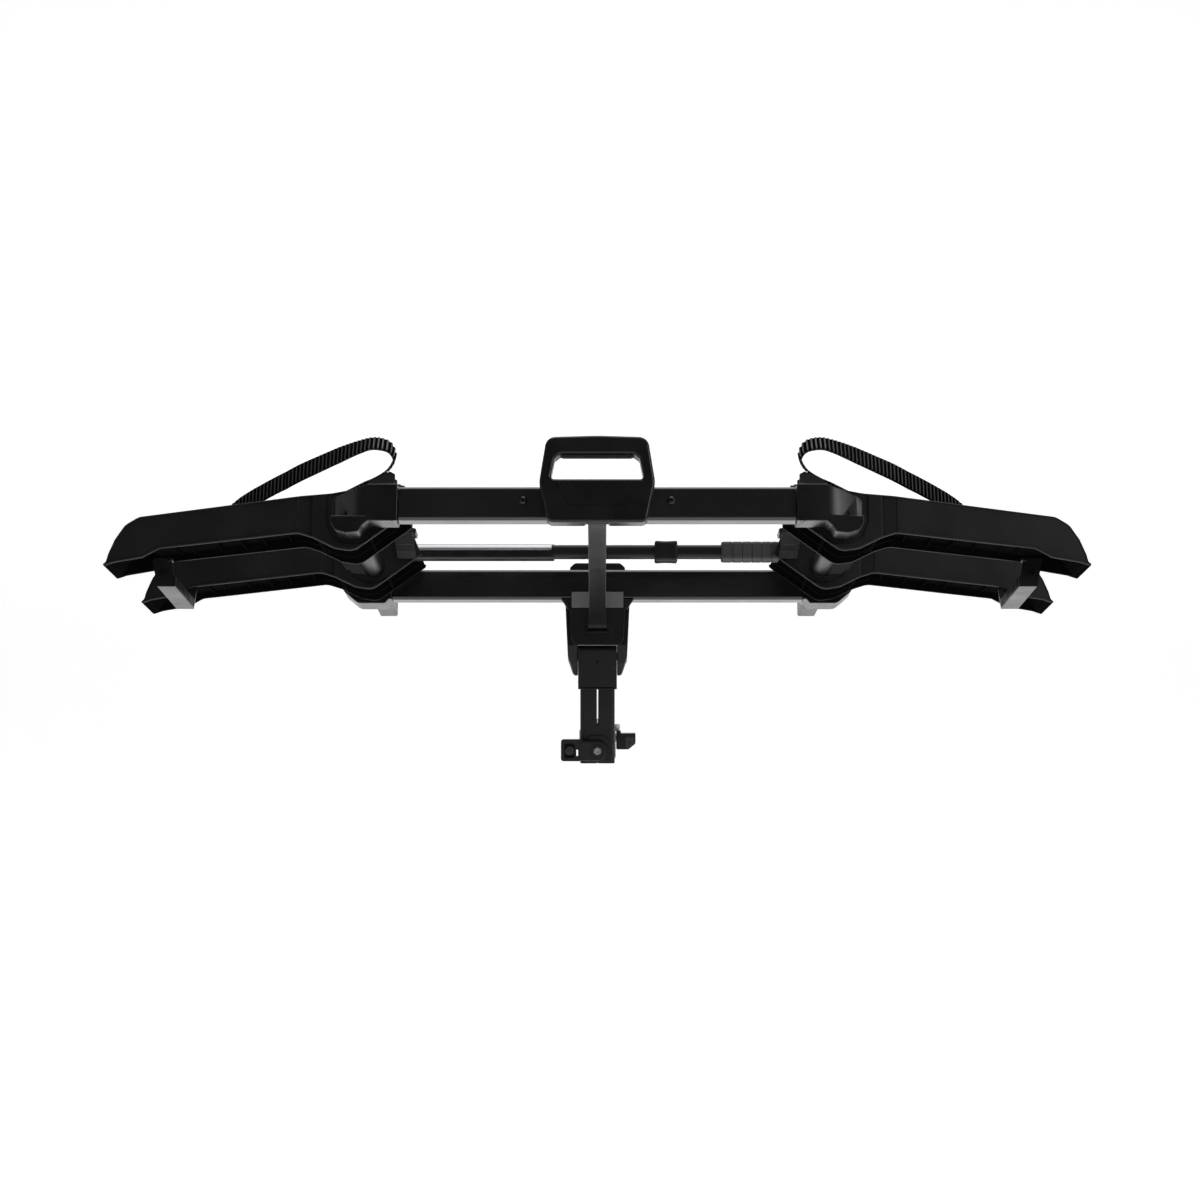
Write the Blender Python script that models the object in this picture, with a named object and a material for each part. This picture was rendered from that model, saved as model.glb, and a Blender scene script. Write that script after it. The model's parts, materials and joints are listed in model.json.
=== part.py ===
"""Two-bike folding platform rack for a 2 inch hitch receiver, in its use position.

World frame: metres, +Z up, +Y toward the vehicle, origin at the centre of the shank's tip.
Platform frame: x across, v toward the vehicle, w up, origin on the tilt bolt. The whole platform
hangs on one empty that leans by PLATFORM_TILT, and each folding or swinging piece on its own.
Outlines of side pieces are given for the right side in (a, w), where a is the distance outboard.
"""

from math import atan2, cos, pi, radians, sin, tan

import bmesh
import bpy
from mathutils import Matrix, Vector

GAP = 0.0003
SIDES = {"left": -1, "right": 1}

# Hitch: a 2 inch square tube into the receiver and the riser welded to its back.
TUBE = 0.0508
TUBE_WALL = 0.004
TUBE_ROUND = 0.006
SHANK_BACK = -0.234
RISER_MIDDLE_Y = SHANK_BACK - GAP - TUBE / 2
RISER_TOP = 0.112
SLEEVE_HALF = 0.0285
SLEEVE_BOTTOM = 0.084
SLEEVE_TOP = 0.148
SLIT_HALF = 0.0009
SLIT_BOTTOM = 0.033
PIN_PLACE = (-0.075, 0.0)
PIN_RADIUS = 0.0063
ROD_Z = -0.0057
ROD_RADIUS = 0.004
WEDGE_SLOPE = 0.25
WEDGE_START = -0.150
WEDGE_END = -0.126

# Platform: tilt bolt, crossbars, wing axles.
PLATFORM_TILT = radians(11.2)
TILT_BOLT = (0.0, -0.26, 0.131)
TILT_BOLT_RADIUS = 0.006
BOLT_HEAD_RADIUS = 0.0095
BOLT_HEAD_SPAN = (0.0385, 0.0430)
CHEEK_SPAN = (0.0290, 0.0475)
REAR_BAR_HALF_LENGTH = 0.26
FRONT_BAR_HALF_LENGTH = 0.3023
BAR_HEIGHT = 0.045
BAR_DEPTH = 0.030
BAR_WALL = 0.0025
BAR_ROUND = 0.005
REAR_BAR = (-0.410, 0.130)
FRONT_BAR = (-0.019, 0.102)
AXLE = (0.320, 0.108)
AXLE_RADIUS = 0.014
AXLE_SPAN = (-0.4200, 0.0097)

# Trays: centres along v and the outline of their side walls.
TRAY_CENTRES = {"rear": -0.3395, "front": -0.0855}
TRAY_HALF = 0.043
TRAY_WALL = 0.003
TRAY_TOP = ((0.269, 0.167), (0.310, 0.1605), (0.352, 0.1525), (0.393, 0.149), (0.606, 0.1205),
            (0.6234, 0.1097), (0.6361, 0.0903), (0.6440, 0.0708), (0.6465, 0.0610), (0.650, 0.057))
TRAY_BOTTOM = ((0.637, 0.0615), (0.600, 0.068), (0.578, 0.080), (0.525, 0.086), (0.3955, 0.101),
               (0.375, 0.0945), (0.3455, 0.080), (0.322, 0.0764), (0.2895, 0.100), (0.253, 0.127))
FLOOR_START = 0.368
LINK_THICKNESS = 0.0035
LINK_LIP = 0.0140
LINK_TABS = {"rear": -0.322, "front": -0.1252}
LINK_FEET = {"rear": (0.5665, 0.5905, 0.0400), "front": (0.5770, 0.6015, 0.0480)}
LINK_TOP = (0.5730, 0.5995, 0.0790)

# Wheel straps: the loop's centreline, and how far its band leans back.
STRAP_WIDTH = 0.026
STRAP_THICKNESS = 0.0026
STRAP_SHIFT = 0.014
STRAP_SHIFT_SLOPE = 0.78
STRAP_LOOP = ((0.552, 0.0985), (0.536, 0.1050), (0.518, 0.1190), (0.498, 0.1370), (0.480, 0.1510),
              (0.4628, 0.1622), (0.4295, 0.1812), (0.4019, 0.1940), (0.3742, 0.2046), (0.3465, 0.2149),
              (0.3191, 0.2240), (0.3000, 0.2280), (0.2814, 0.2248), (0.2737, 0.2151), (0.2756, 0.2076),
              (0.2819, 0.1995), (0.2919, 0.1920), (0.3050, 0.1845), (0.3220, 0.1755), (0.3520, 0.1600),
              (0.385, 0.144), (0.415, 0.128))
STRAP_LEANS = {"out": ((0.100, 0), (0.148, 82), (0.194, 80), (0.215, 70), (0.228, 52)),
               "back": ((0.180, 0), (0.228, 52))}
STRAP_RISE_FROM = 0.1856
BUCKLE_PIN = (0.3000, 0.1690)

# Frame arms: both swing about a wing axle and telescope.
ARM_SHIFT = -0.0215
ARM_W = 0.1345
ARM_RADIUS = 0.0115
ARM_INNER_RADIUS = 0.0100
ARM_SOCKET = 0.2827
ARM_MOUTH = 0.0624
ARM_OVERLAP = 0.060
COLLAR_SPAN = (-0.115, -0.0825)
GRIP_SPAN = (-0.262, -0.1785)

PLACES = {}


def clear_scene():
    for item in list(bpy.data.objects):
        bpy.data.objects.remove(item, do_unlink=True)


def finish(name, colour, roughness, metallic):
    """A Principled material, made once for each name."""
    made = bpy.data.materials.get(name)
    if made is None:
        made = bpy.data.materials.new(name)
        made.use_nodes = True
        shader = made.node_tree.nodes["Principled BSDF"]
        shader.inputs["Base Color"].default_value = (*colour, 1.0)
        shader.inputs["Roughness"].default_value = roughness
        shader.inputs["Metallic"].default_value = metallic
    return made


def black_steel():
    return finish("black_steel", (0.012, 0.012, 0.013), 0.42, 0.0)


def black_plastic():
    return finish("black_plastic", (0.010, 0.010, 0.011), 0.48, 0.0)


def grey_plastic():
    return finish("grey_plastic", (0.055, 0.055, 0.058), 0.40, 0.0)


def black_rubber():
    return finish("black_rubber", (0.016, 0.016, 0.016), 0.72, 0.0)


def bare_metal():
    return finish("bare_metal", (0.55, 0.55, 0.56), 0.30, 1.0)


# Shapes ------------------------------------------------------------------------------------------


def along(axis, first, second, t):
    """The point at t along an axis, with the outline's two coordinates on the other axes."""
    if axis == "X":
        return (t, first, second)
    if axis == "Y":
        return (first, t, second)
    return (first, second, t)


def skin(rings):
    """A closed solid through rings that hold the same number of points."""
    shape = bmesh.new()
    rows = [[shape.verts.new(point) for point in ring] for ring in rings]
    shape.faces.new(reversed(rows[0]))
    shape.faces.new(rows[-1])
    for row, following in zip(rows, rows[1:]):
        for index in range(len(row)):
            shape.faces.new((row[index - 1], row[index], following[index], following[index - 1]))
    bmesh.ops.recalc_face_normals(shape, faces=shape.faces)
    mesh = bpy.data.meshes.new("shape")
    shape.to_mesh(mesh)
    shape.free()
    return mesh


def prism(outline, axis, low, high):
    return skin([[along(axis, a, b, t) for a, b in outline] for t in (low, high)])


def block(x, y, z):
    corners = ((x[0], y[0]), (x[1], y[0]), (x[1], y[1]), (x[0], y[1]))
    return prism(corners, "Z", z[0], z[1])


def circle(centre, radius, count):
    turns = [2 * pi * (index + 0.5) / count for index in range(count)]
    return [(centre[0] + radius * cos(turn), centre[1] + radius * sin(turn)) for turn in turns]


def rod(axis, centre, radius, low, high, count=20):
    return prism(circle(centre, radius, count), axis, low, high)


def fillet(points, radii, steps=3):
    """The polygon with each corner rounded by its radius; 0 leaves the corner sharp."""
    if not isinstance(radii, (list, tuple)):
        radii = [radii] * len(points)
    rounded = []
    for index, corner in enumerate(points):
        here = Vector(corner)
        before = Vector(points[index - 1]) - here
        after = Vector(points[(index + 1) % len(points)]) - here
        if radii[index] == 0:
            rounded.append(tuple(here))
            continue
        half = before.angle(after) / 2
        reach = min(radii[index] / tan(half), 0.48 * before.length, 0.48 * after.length)
        radius = reach * tan(half)
        middle = here + (before.normalized() + after.normalized()).normalized() * (radius / sin(half))
        start = here + before.normalized() * reach - middle
        end = here + after.normalized() * reach - middle
        first = atan2(start.y, start.x)
        sweep = atan2(start.cross(end), start.dot(end))
        turns = [first + sweep * step / steps for step in range(steps + 1)]
        rounded += [(middle.x + radius * cos(turn), middle.y + radius * sin(turn)) for turn in turns]
    return rounded


def rectangle(first, second, radius=0.0, steps=2):
    corners = ((first[0], second[0]), (first[1], second[0]), (first[1], second[1]), (first[0], second[1]))
    return fillet(corners, radius, steps)


def sided(outline, side):
    """A side outline given in (a, w), placed on one side of the centre plane."""
    return [(side * a, w) for a, w in outline]


def smooth_path(points, steps):
    """A Catmull-Rom curve through the points."""
    curve = []
    last = len(points) - 1
    for index in range(last):
        near = [Vector(points[min(max(index + shift, 0), last)]) for shift in (-1, 0, 1, 2)]
        for step in range(steps):
            t = step / steps
            curve.append(0.5 * (2 * near[1] + (near[2] - near[0]) * t
                                + (2 * near[0] - 5 * near[1] + 4 * near[2] - near[3]) * t ** 2
                                + (3 * near[1] - near[0] - 3 * near[2] + near[3]) * t ** 3))
    curve.append(Vector(points[last]))
    return curve


# Scene -------------------------------------------------------------------------------------------


def add_pivot(name, place, parent=None):
    """An empty on a joint's axis. Its place is in the frame of the pieces that hang on it."""
    pivot = bpy.data.objects.new(name, None)
    bpy.context.scene.collection.objects.link(pivot)
    pivot.empty_display_size = 0.03
    if parent is None:
        pivot.location = place
    else:
        pivot.parent = bpy.data.objects[parent]
        pivot.location = Vector(place) - PLACES[parent]
    PLACES[name] = Vector(place)
    return pivot


def helper(mesh):
    item = bpy.data.objects.new("helper", mesh)
    item.hide_render = True
    item.display_type = "WIRE"
    bpy.context.scene.collection.objects.link(item)
    return item


def add(name, shapes, cuts=(), pivot=None, material=None):
    """One sub-part: its shapes joined, its cuts taken out, its origin moved onto its pivot."""
    helpers = [helper(mesh) for mesh in (*shapes, *cuts)]
    for index, other in enumerate(helpers[1:], 1):
        step = helpers[0].modifiers.new("shape", "BOOLEAN")
        step.operation = "UNION" if index < len(shapes) else "DIFFERENCE"
        step.object = other
    bpy.context.view_layer.update()
    graph = bpy.context.evaluated_depsgraph_get()
    mesh = bpy.data.meshes.new_from_object(helpers[0].evaluated_get(graph))
    mesh.name = name
    for item in helpers:
        bpy.data.objects.remove(item, do_unlink=True)
    part = bpy.data.objects.new(name, mesh)
    bpy.context.scene.collection.objects.link(part)
    if pivot is not None:
        mesh.transform(Matrix.Translation(-PLACES[pivot]))
        part.parent = bpy.data.objects[pivot]
    mesh.materials.clear()
    mesh.materials.append(material)
    mesh.shade_smooth()
    mesh.set_sharp_from_angle(angle=radians(32))
    return part


# Hitch -------------------------------------------------------------------------------------------


def square_tube_outline(middle, half, radius):
    return rectangle((-half, half), (middle - half, middle + half), radius, 3)


def make_shank():
    inner = TUBE / 2 - TUBE_WALL
    slot = block((-0.0108, 0.0108), (WEDGE_START - 0.001, WEDGE_END + 0.001), (-0.030, -0.015))
    add("hitch_shank",
        [prism(square_tube_outline(0, TUBE / 2, TUBE_ROUND), "Y", SHANK_BACK, 0.0)],
        [prism(square_tube_outline(0, inner, 0.003), "Y", SHANK_BACK - 0.01, -0.030),
         rod("X", PIN_PLACE, PIN_RADIUS + GAP, -0.04, 0.04), slot],
        material=black_steel())


def make_riser():
    half = TUBE / 2
    inner = half - TUBE_WALL
    front = RISER_MIDDLE_Y - half
    back = RISER_MIDDLE_Y + half
    slit = block((-SLIT_HALF, SLIT_HALF), (front - 0.01, back + 0.01), (SLIT_BOTTOM, 0.0835))
    slit_end = rod("Y", (0, SLIT_BOTTOM), 0.0015, front - 0.01, back + 0.01, 10)
    notch = prism(((-0.0025, -0.030), (0.0025, -0.030), (0.0, -0.0222)), "Y", front - 0.01, front + 0.01)
    add("riser_post",
        [prism(square_tube_outline(RISER_MIDDLE_Y, half, TUBE_ROUND), "Z", -half, RISER_TOP)],
        [prism(square_tube_outline(RISER_MIDDLE_Y, inner, 0.003), "Z", -0.021, RISER_TOP + 0.01),
         rod("Y", (0, ROD_Z), ROD_RADIUS + 0.0005, front - 0.01, back + 0.01), slit, slit_end, notch],
        material=black_steel())


def make_sleeve():
    low = RISER_MIDDLE_Y - SLEEVE_HALF
    high = RISER_MIDDLE_Y + SLEEVE_HALF
    outline = fillet(((low, SLEEVE_BOTTOM), (high, SLEEVE_BOTTOM), (high, SLEEVE_TOP), (low, SLEEVE_TOP)),
                     (0.0, 0.0, 0.008, 0.008), 5)
    room = TUBE / 2 + GAP
    add("riser_sleeve",
        [prism(outline, "X", -SLEEVE_HALF, SLEEVE_HALF)],
        [block((-room, room), (RISER_MIDDLE_Y - room, RISER_MIDDLE_Y + room), (0.07, RISER_TOP + GAP)),
         rod("X", TILT_BOLT[1:], TILT_BOLT_RADIUS + GAP, -0.04, 0.04),
         rod("Y", (0, 0.1245), 0.0018, low - 0.01, low + 0.006, 12)],
        material=black_steel())


def make_tilt_bolt():
    """Bolt and nut, each sunk in the outer face of a cheek."""
    centre = TILT_BOLT[1:]
    start, end = BOLT_HEAD_SPAN
    add("tilt_bolt",
        [rod("X", centre, TILT_BOLT_RADIUS, -end, start + 0.001),
         rod("X", centre, BOLT_HEAD_RADIUS, start, end, 18)],
        material=bare_metal())
    add("tilt_nut",
        [rod("X", centre, BOLT_HEAD_RADIUS, -end, -start, 6)],
        [rod("X", centre, TILT_BOLT_RADIUS + GAP, -end - 0.01, -start + 0.01)],
        material=bare_metal())


def make_wobble_drive():
    """Lever at the foot of the riser, its rod, and the wedge and shoe that lock the shank."""
    face = RISER_MIDDLE_Y - TUBE / 2 - GAP
    centre = (0, ROD_Z)
    add("lever_plate",
        [prism(fillet(((-0.0215, -0.0225), (0.0215, -0.0225), (0.0215, 0.004), (0.010, 0.0155),
                       (-0.010, 0.0155), (-0.0215, 0.004)), 0.004, 2), "Y", face - 0.0025, face)],
        [rod("Y", centre, ROD_RADIUS + 0.0005, face - 0.01, face + 0.01)],
        material=black_steel())
    lever_face = face - 0.0025 - GAP
    pivot = "wobble_pivot"
    add_pivot(pivot, (0, lever_face, ROD_Z))
    body = fillet(((-0.0535, -0.0212), (-0.027, -0.0212), (-0.024, -0.0165), (0.004, -0.0180),
                   (0.012, -0.010), (0.012, 0.000), (0.004, 0.0065), (-0.020, 0.0065),
                   (-0.024, 0.0108), (-0.0535, 0.0108)),
                  (0.004, 0.001, 0.001, 0.006, 0.006, 0.006, 0.006, 0.001, 0.001, 0.004), 3)
    add("wobble_lever",
        [prism(body, "Y", lever_face - 0.012, lever_face)],
        [block((-0.0480, -0.0340), (lever_face - 0.02, lever_face - 0.0040), (-0.0158, 0.0052)),
         block((-0.0305, -0.0275), (lever_face - 0.02, lever_face + 0.01), (-0.0140, 0.0040)),
         rod("Y", centre, ROD_RADIUS + GAP, -0.32, -0.27)],
        pivot=pivot, material=black_plastic())
    add("lever_lock",
        [rod("Y", (-0.0410, -0.0053), 0.0066, lever_face - 0.0125, lever_face - 0.0043, 24)],
        [block((-0.0414, -0.0406), (lever_face - 0.02, lever_face - 0.0115), (-0.009, -0.0016))],
        pivot=pivot, material=bare_metal())
    nut_face = lever_face - 0.012 - GAP
    add("draw_rod",
        [rod("Y", centre, ROD_RADIUS, nut_face - 0.004, WEDGE_END + 0.008, 16),
         rod("Y", centre, 0.0082, nut_face - 0.0012, nut_face, 24),
         rod("Y", centre, 0.0055, nut_face - 0.0062, nut_face - 0.0008, 6)],
        pivot=pivot, material=bare_metal())
    thin = -0.0111
    thick = thin - WEDGE_SLOPE * (WEDGE_END - WEDGE_START)
    add("wobble_wedge",
        [prism(((WEDGE_START, 0.004), (WEDGE_START, thin), (WEDGE_END, thick), (WEDGE_END, 0.004)),
               "X", -0.010, 0.010)],
        [rod("Y", centre, ROD_RADIUS + GAP, WEDGE_START - 0.01, WEDGE_END + 0.01, 16)],
        material=bare_metal())
    clear = 0.0004
    add("wobble_shoe",
        [prism(((WEDGE_START, thin - clear), (WEDGE_START, -0.0253), (WEDGE_END, -0.0253),
                (WEDGE_END, thick - clear)), "X", -0.010, 0.010)],
        material=bare_metal())


def make_hitch_pin():
    half = TUBE / 2
    add("hitch_pin",
        [rod("X", PIN_PLACE, PIN_RADIUS, -0.0262, 0.034)],
        material=bare_metal())
    near, far = PIN_PLACE[0] - 0.012, PIN_PLACE[0] + 0.012
    lock = fillet(((0.0290, -0.0180), (0.0480, -0.0180), (0.0590, -0.0090), (0.0590, 0.0064),
                   (half + 0.010, 0.0064), (half + 0.010, 0.0215), (0.0290, 0.0215)), 0.002, 2)
    add("pin_lock",
        [prism(lock, "Y", near, far)],
        [rod("X", PIN_PLACE, PIN_RADIUS + GAP, 0.02, 0.0345)],
        material=black_plastic())


# Platform ----------------------------------------------------------------------------------------


def make_crossbar(name, centre, half_length):
    v, w = centre
    deep, high = BAR_DEPTH / 2, BAR_HEIGHT / 2
    outline = rectangle((v - deep, v + deep), (w - high, w + high), BAR_ROUND, 3)
    deep, high = deep - BAR_WALL, high - BAR_WALL
    inner = rectangle((v - deep, v + deep), (w - high, w + high), BAR_ROUND - BAR_WALL, 2)
    half = half_length - GAP
    add(name, [prism(outline, "X", -half, half)], [prism(inner, "X", -half - 0.01, half + 0.01)],
        pivot="platform_pivot", material=black_steel())


def make_housing():
    """Body between the front bar and the tilt bolt: face plate, visor and top block."""
    face = FRONT_BAR[0] - BAR_DEPTH / 2
    visor = ((-0.046, 0.0885), (face - GAP, 0.0885), (face - GAP, 0.0660), (-0.0400, 0.0660))
    plate = fillet(((-0.034, 0.0115), (0.034, 0.0115), (0.038, 0.020), (0.038, 0.0665), (-0.038, 0.0665),
                    (-0.038, 0.020)), 0.002, 2)
    add("hinge_housing",
        [prism(plate, "Y", face - 0.0045, face + 0.003),
         prism(visor, "X", -0.038, 0.038),
         block((-0.0287, 0.0287), (face - 0.001, 0.028), (0.0600, 0.0792))],
        [block((-0.0150, 0.0150), (face - 0.01, face + 0.01), (0.0310, 0.0395))],
        pivot="platform_pivot", material=black_plastic())


def make_cheek(label, side):
    outline = fillet(((-0.0290, 0.0790), (0.0200, 0.0790), (0.0240, 0.020), (0.0120, -0.0240),
                      (-0.004, -0.0300), (-0.0200, -0.0140), (-0.0290, 0.0120)),
                     (0.0, 0.0, 0.010, 0.008, 0.006, 0.008, 0.008), 3)
    outside = ((CHEEK_SPAN[1], 0.0790), (0.0437, -0.003), (0.036, -0.026), (0.033, -0.030), (0.033, -0.05),
               (0.06, -0.05), (0.06, 0.0790))
    head_room = sorted((side * (BOLT_HEAD_SPAN[0] - GAP), side * 0.06))
    add(f"hinge_cheek_{label}",
        [prism(outline, "X", *sorted(side * x for x in CHEEK_SPAN))],
        [rod("X", (0, 0), TILT_BOLT_RADIUS + GAP, -0.06, 0.06),
         rod("X", (0, 0), BOLT_HEAD_RADIUS + 0.0006, *head_room, 28),
         prism(sided(outside, side), "Y", -0.04, 0.04)],
        pivot="platform_pivot", material=black_plastic())


def make_housing_cover():
    outline = fillet(((-0.041, 0.0797), (0.041, 0.0797), (0.041, 0.1340), (0.034, 0.1410),
                      (-0.034, 0.1410), (-0.041, 0.1340)), (0, 0, 0.004, 0.008, 0.008, 0.004), 3)
    near = FRONT_BAR[0] + BAR_DEPTH / 2 + GAP
    add("housing_cover",
        [prism(outline, "Y", near, 0.0290)],
        pivot="platform_pivot", material=black_plastic())


def make_front_bracket(label, side):
    root = FRONT_BAR_HALF_LENGTH + 0.0003
    outline = fillet(((root, 0.0790), (0.3070, 0.0790), (0.3120, 0.0728), (0.3520, 0.0728),
                      (0.3745, 0.0920), (0.3720, 0.1450), (0.3520, 0.1500), (root, 0.1450)),
                     (0.001, 0.003, 0.003, 0.014, 0.010, 0.008, 0.010, 0.003), 3)
    add(f"front_bracket_{label}",
        [prism(sided(outline, side), "Y", -0.0395, 0.0100)],
        [rod("Y", (side * AXLE[0], AXLE[1]), AXLE_RADIUS + GAP, -0.06, 0.03, 28)],
        pivot="platform_pivot", material=black_steel())


def make_rear_bracket(label, side):
    outline = fillet(((0.2603, 0.1050), (0.2990, 0.1050), (0.3060, 0.0990), (0.3110, 0.0905),
                      (0.3268, 0.0887), (0.3409, 0.0925), (0.3475, 0.1035), (0.3480, 0.1350),
                      (0.3440, 0.1410), (0.2990, 0.1545), (0.2603, 0.1545)),
                     (0.002, 0.003, 0.004, 0.004, 0.008, 0.006, 0.006, 0.006, 0.004, 0.003, 0.002), 3)
    slant = ((0.2990, -0.45), (0.2990, -0.4322), (0.3180, -0.4270), (0.3400, -0.4120),
             (0.37, -0.4060), (0.37, -0.45))
    add(f"rear_bracket_{label}",
        [prism(sided(outline, side), "Y", -0.4320, -0.3905)],
        [prism([(side * a, v) for a, v in slant], "Z", 0.110, 0.17),
         rod("Y", (side * AXLE[0], AXLE[1]), AXLE_RADIUS + GAP, AXLE_SPAN[0] - GAP, -0.37, 28)],
        pivot="platform_pivot", material=black_steel())


def make_axle(label, side):
    centre = (side * AXLE[0], AXLE[1])
    add(f"wing_axle_{label}",
        [rod("Y", centre, AXLE_RADIUS, *AXLE_SPAN, 28)],
        [rod("Y", centre, AXLE_RADIUS - 0.003, AXLE_SPAN[0] + 0.01, 0.03, 20)],
        pivot="platform_pivot", material=black_steel())


def make_rail_foot(label, side):
    span = sorted((side * 0.3065, side * 0.3335))
    outline = rectangle(span, (0.0820, 0.1230), 0.003, 2)
    inner = rectangle((span[0] + 0.0025, span[1] - 0.0025), (0.0845, 0.1205), 0.001, 1)
    add(f"rail_foot_{label}",
        [prism(outline, "Y", 0.0103, 0.1120)],
        [prism(inner, "Y", 0.030, 0.13)],
        pivot="platform_pivot", material=black_steel())


def make_handle():
    back = REAR_BAR[0] - BAR_DEPTH / 2 - GAP
    front = back - 0.027
    outline = fillet(((-0.0640, 0.0984), (0.0640, 0.0984), (0.0755, 0.1518), (0.0660, 0.2126),
                      (0.0, 0.2146), (-0.0660, 0.2126), (-0.0755, 0.1518)),
                     (0.006, 0.006, 0.012, 0.013, 0.3, 0.013, 0.012), 4)
    window = fillet(((-0.0606, 0.1560), (0.0606, 0.1560), (0.0550, 0.1840), (0.0480, 0.1895),
                     (-0.0480, 0.1895), (-0.0550, 0.1840)), 0.004, 3)
    trigger_slot = block((-0.0475, 0.0475), (front + 0.005, back - 0.007), (0.1800, 0.2030))
    pocket = block((-0.0140, 0.0140), (front + 0.008, back + 0.01), (0.09, 0.1300))
    add("handle",
        [prism(outline, "Y", front, back)],
        [prism(window, "Y", front - 0.01, back + 0.01), trigger_slot, pocket],
        pivot="platform_pivot", material=black_plastic())
    add("release_trigger",
        [block((-0.0465, 0.0465), (front + 0.006, back - 0.008), (0.1868, 0.1970))],
        pivot="platform_pivot", material=black_plastic())


def make_bar_bolt(label, side):
    face = REAR_BAR[0] - BAR_DEPTH / 2 - GAP
    centre = (side * 0.0970, 0.1335)
    head = [circle(centre, radius, 20) for radius in (0.0055, 0.0048, 0.0026)]
    depths = (face, face - 0.0018, face - 0.0032)
    rings = [[along("Y", a, b, depth) for a, b in ring] for ring, depth in zip(head, depths)]
    add(f"bar_bolt_{label}", [skin(rings)], pivot="platform_pivot", material=black_steel())


def make_release_link():
    """Flat bar from the handle down to the latch, and the pawl at its lower end."""
    line = smooth_path(((-0.4330, 0.1180), (-0.4290, 0.1070), (-0.4150, 0.1015), (-0.3300, 0.0895),
                        (-0.1800, 0.0670), (-0.0900, 0.0525), (-0.0520, 0.0430), (-0.0400, 0.0363),
                        (-0.0345, 0.0352), (-0.0280, 0.0350)), 3)
    add("release_strap",
        [band(line, -0.0120, 0.0120, 0.0040)],
        pivot="platform_pivot", material=black_steel())
    add("latch_pawl",
        [block((-0.0200, 0.0200), (-0.0262, -0.0100), (0.0300, 0.0460))],
        [block((-0.0125, 0.0125), (-0.04, -0.0250), (0.02, 0.06))],
        pivot="platform_pivot", material=bare_metal())


def band(line, low, high, thickness):
    """A flat bar whose centreline runs in the (v, w) plane and whose width lies along x."""
    rings = []
    for index, point in enumerate(line):
        ahead = line[min(index + 1, len(line) - 1)] - line[max(index - 1, 0)]
        across = Vector((-ahead[1], ahead[0])).normalized() * thickness / 2
        over, under = point + across, point - across
        rings.append([(low, *under), (high, *under), (high, *over), (low, *over)])
    return skin(rings)


# Wings -------------------------------------------------------------------------------------------


def carve(shapes, cuts):
    """The mesh of a temporary part, for use as one shape of another."""
    part = add("carved", shapes, cuts)
    mesh = part.data
    bpy.data.objects.remove(part, do_unlink=True)
    return mesh


def rib(a, low, high, side, near, far):
    corners = ((a, low), (a + 0.002, low), (a + 0.002, high), (a, high))
    return prism(sided(corners, side), "Y", near, far)


def make_tray(row, label, side):
    middle = TRAY_CENTRES[row]
    near, far = middle - TRAY_HALF, middle + TRAY_HALF
    inner_near, inner_far = near + TRAY_WALL, far - TRAY_WALL
    trough = ((FLOOR_START, 0.22), (FLOOR_START, 0.1235), (0.393, 0.1190), (0.590, 0.0885), (0.604, 0.0950),
              (0.612, 0.115), (0.612, 0.22))
    hollow = ((FLOOR_START + 0.004, 0.05), (FLOOR_START + 0.004, 0.1205), (0.393, 0.1160), (0.590, 0.0855),
              (0.603, 0.0905), (0.620, 0.0890), (0.641, 0.062), (0.648, 0.04))
    over_axle = ((0.245, 0.05), (0.245, 0.22), (FLOOR_START + 0.002, 0.22), (FLOOR_START + 0.002, 0.1235),
                 (FLOOR_START - 0.002, 0.1235), (FLOOR_START - 0.002, 0.05))
    shell = carve([prism(sided(TRAY_TOP + TRAY_BOTTOM, side), "Y", near, far)],
                  [prism(sided(outline, side), "Y", inner_near, inner_far)
                   for outline in (trough, hollow, over_axle)]
                  + [rod("Y", (side * AXLE[0], AXLE[1]), AXLE_RADIUS + GAP, near - 0.01, far + 0.01, 28)])
    seat = ((0.2590, 0.1300), (0.2680, 0.1540), (0.3080, 0.1540), (0.3020, 0.1300))
    button_room = block(sorted((side * 0.2645, side * 0.2845)), (near - 0.01, inner_near + 0.002),
                        (0.1260, 0.1520))
    add(f"tray_{row}_{label}",
        [shell, prism(sided(seat, side), "Y", middle - 0.003, inner_far + 0.001),
         rib(0.447, 0.0970, 0.1090, side, inner_near - 0.001, inner_far + 0.001),
         rib(0.507, 0.0900, 0.1000, side, inner_near - 0.001, inner_far + 0.001)],
        [button_room],
        pivot=f"wing_pivot_{label}", material=black_plastic())


def make_wing_link(label, side):
    """Crosspiece under the outer ends of one side's trays, with a tie-down hole."""
    plate = LINK_THICKNESS
    floor, lip, tabs = [], [], []
    for row, start in LINK_TABS.items():
        low, high, foot = LINK_FEET[row]
        v = start if row == "rear" else start + plate
        floor.append([(side * a, v, w) for a, w in rectangle((low, high), (foot, foot + plate))])
        lip.append([(side * a, v, w) for a, w in rectangle((low, low + plate), (foot, foot + LINK_LIP))])
        tab = ((low, foot), (high, foot), (LINK_TOP[1], LINK_TOP[2]), (LINK_TOP[0], LINK_TOP[2]))
        tabs.append(prism(sided(tab, side), "Y", start, start + plate))
    hole = rod("Y", (side * 0.583, 0.0620), 0.0060, LINK_TABS["rear"] - 0.01, LINK_TABS["rear"] + 0.01, 20)
    add(f"wing_link_{label}", [skin(floor), skin(lip), *tabs], [hole],
        pivot=f"wing_pivot_{label}", material=black_steel())


def lean_at(w, points):
    """Lean of the strap at a height, read between (height, degrees) points."""
    for (low, first), (high, last) in zip(points, points[1:]):
        if w <= high:
            return radians(first + (last - first) * max(w - low, 0.0) / (high - low))
    return radians(points[-1][1])


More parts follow.
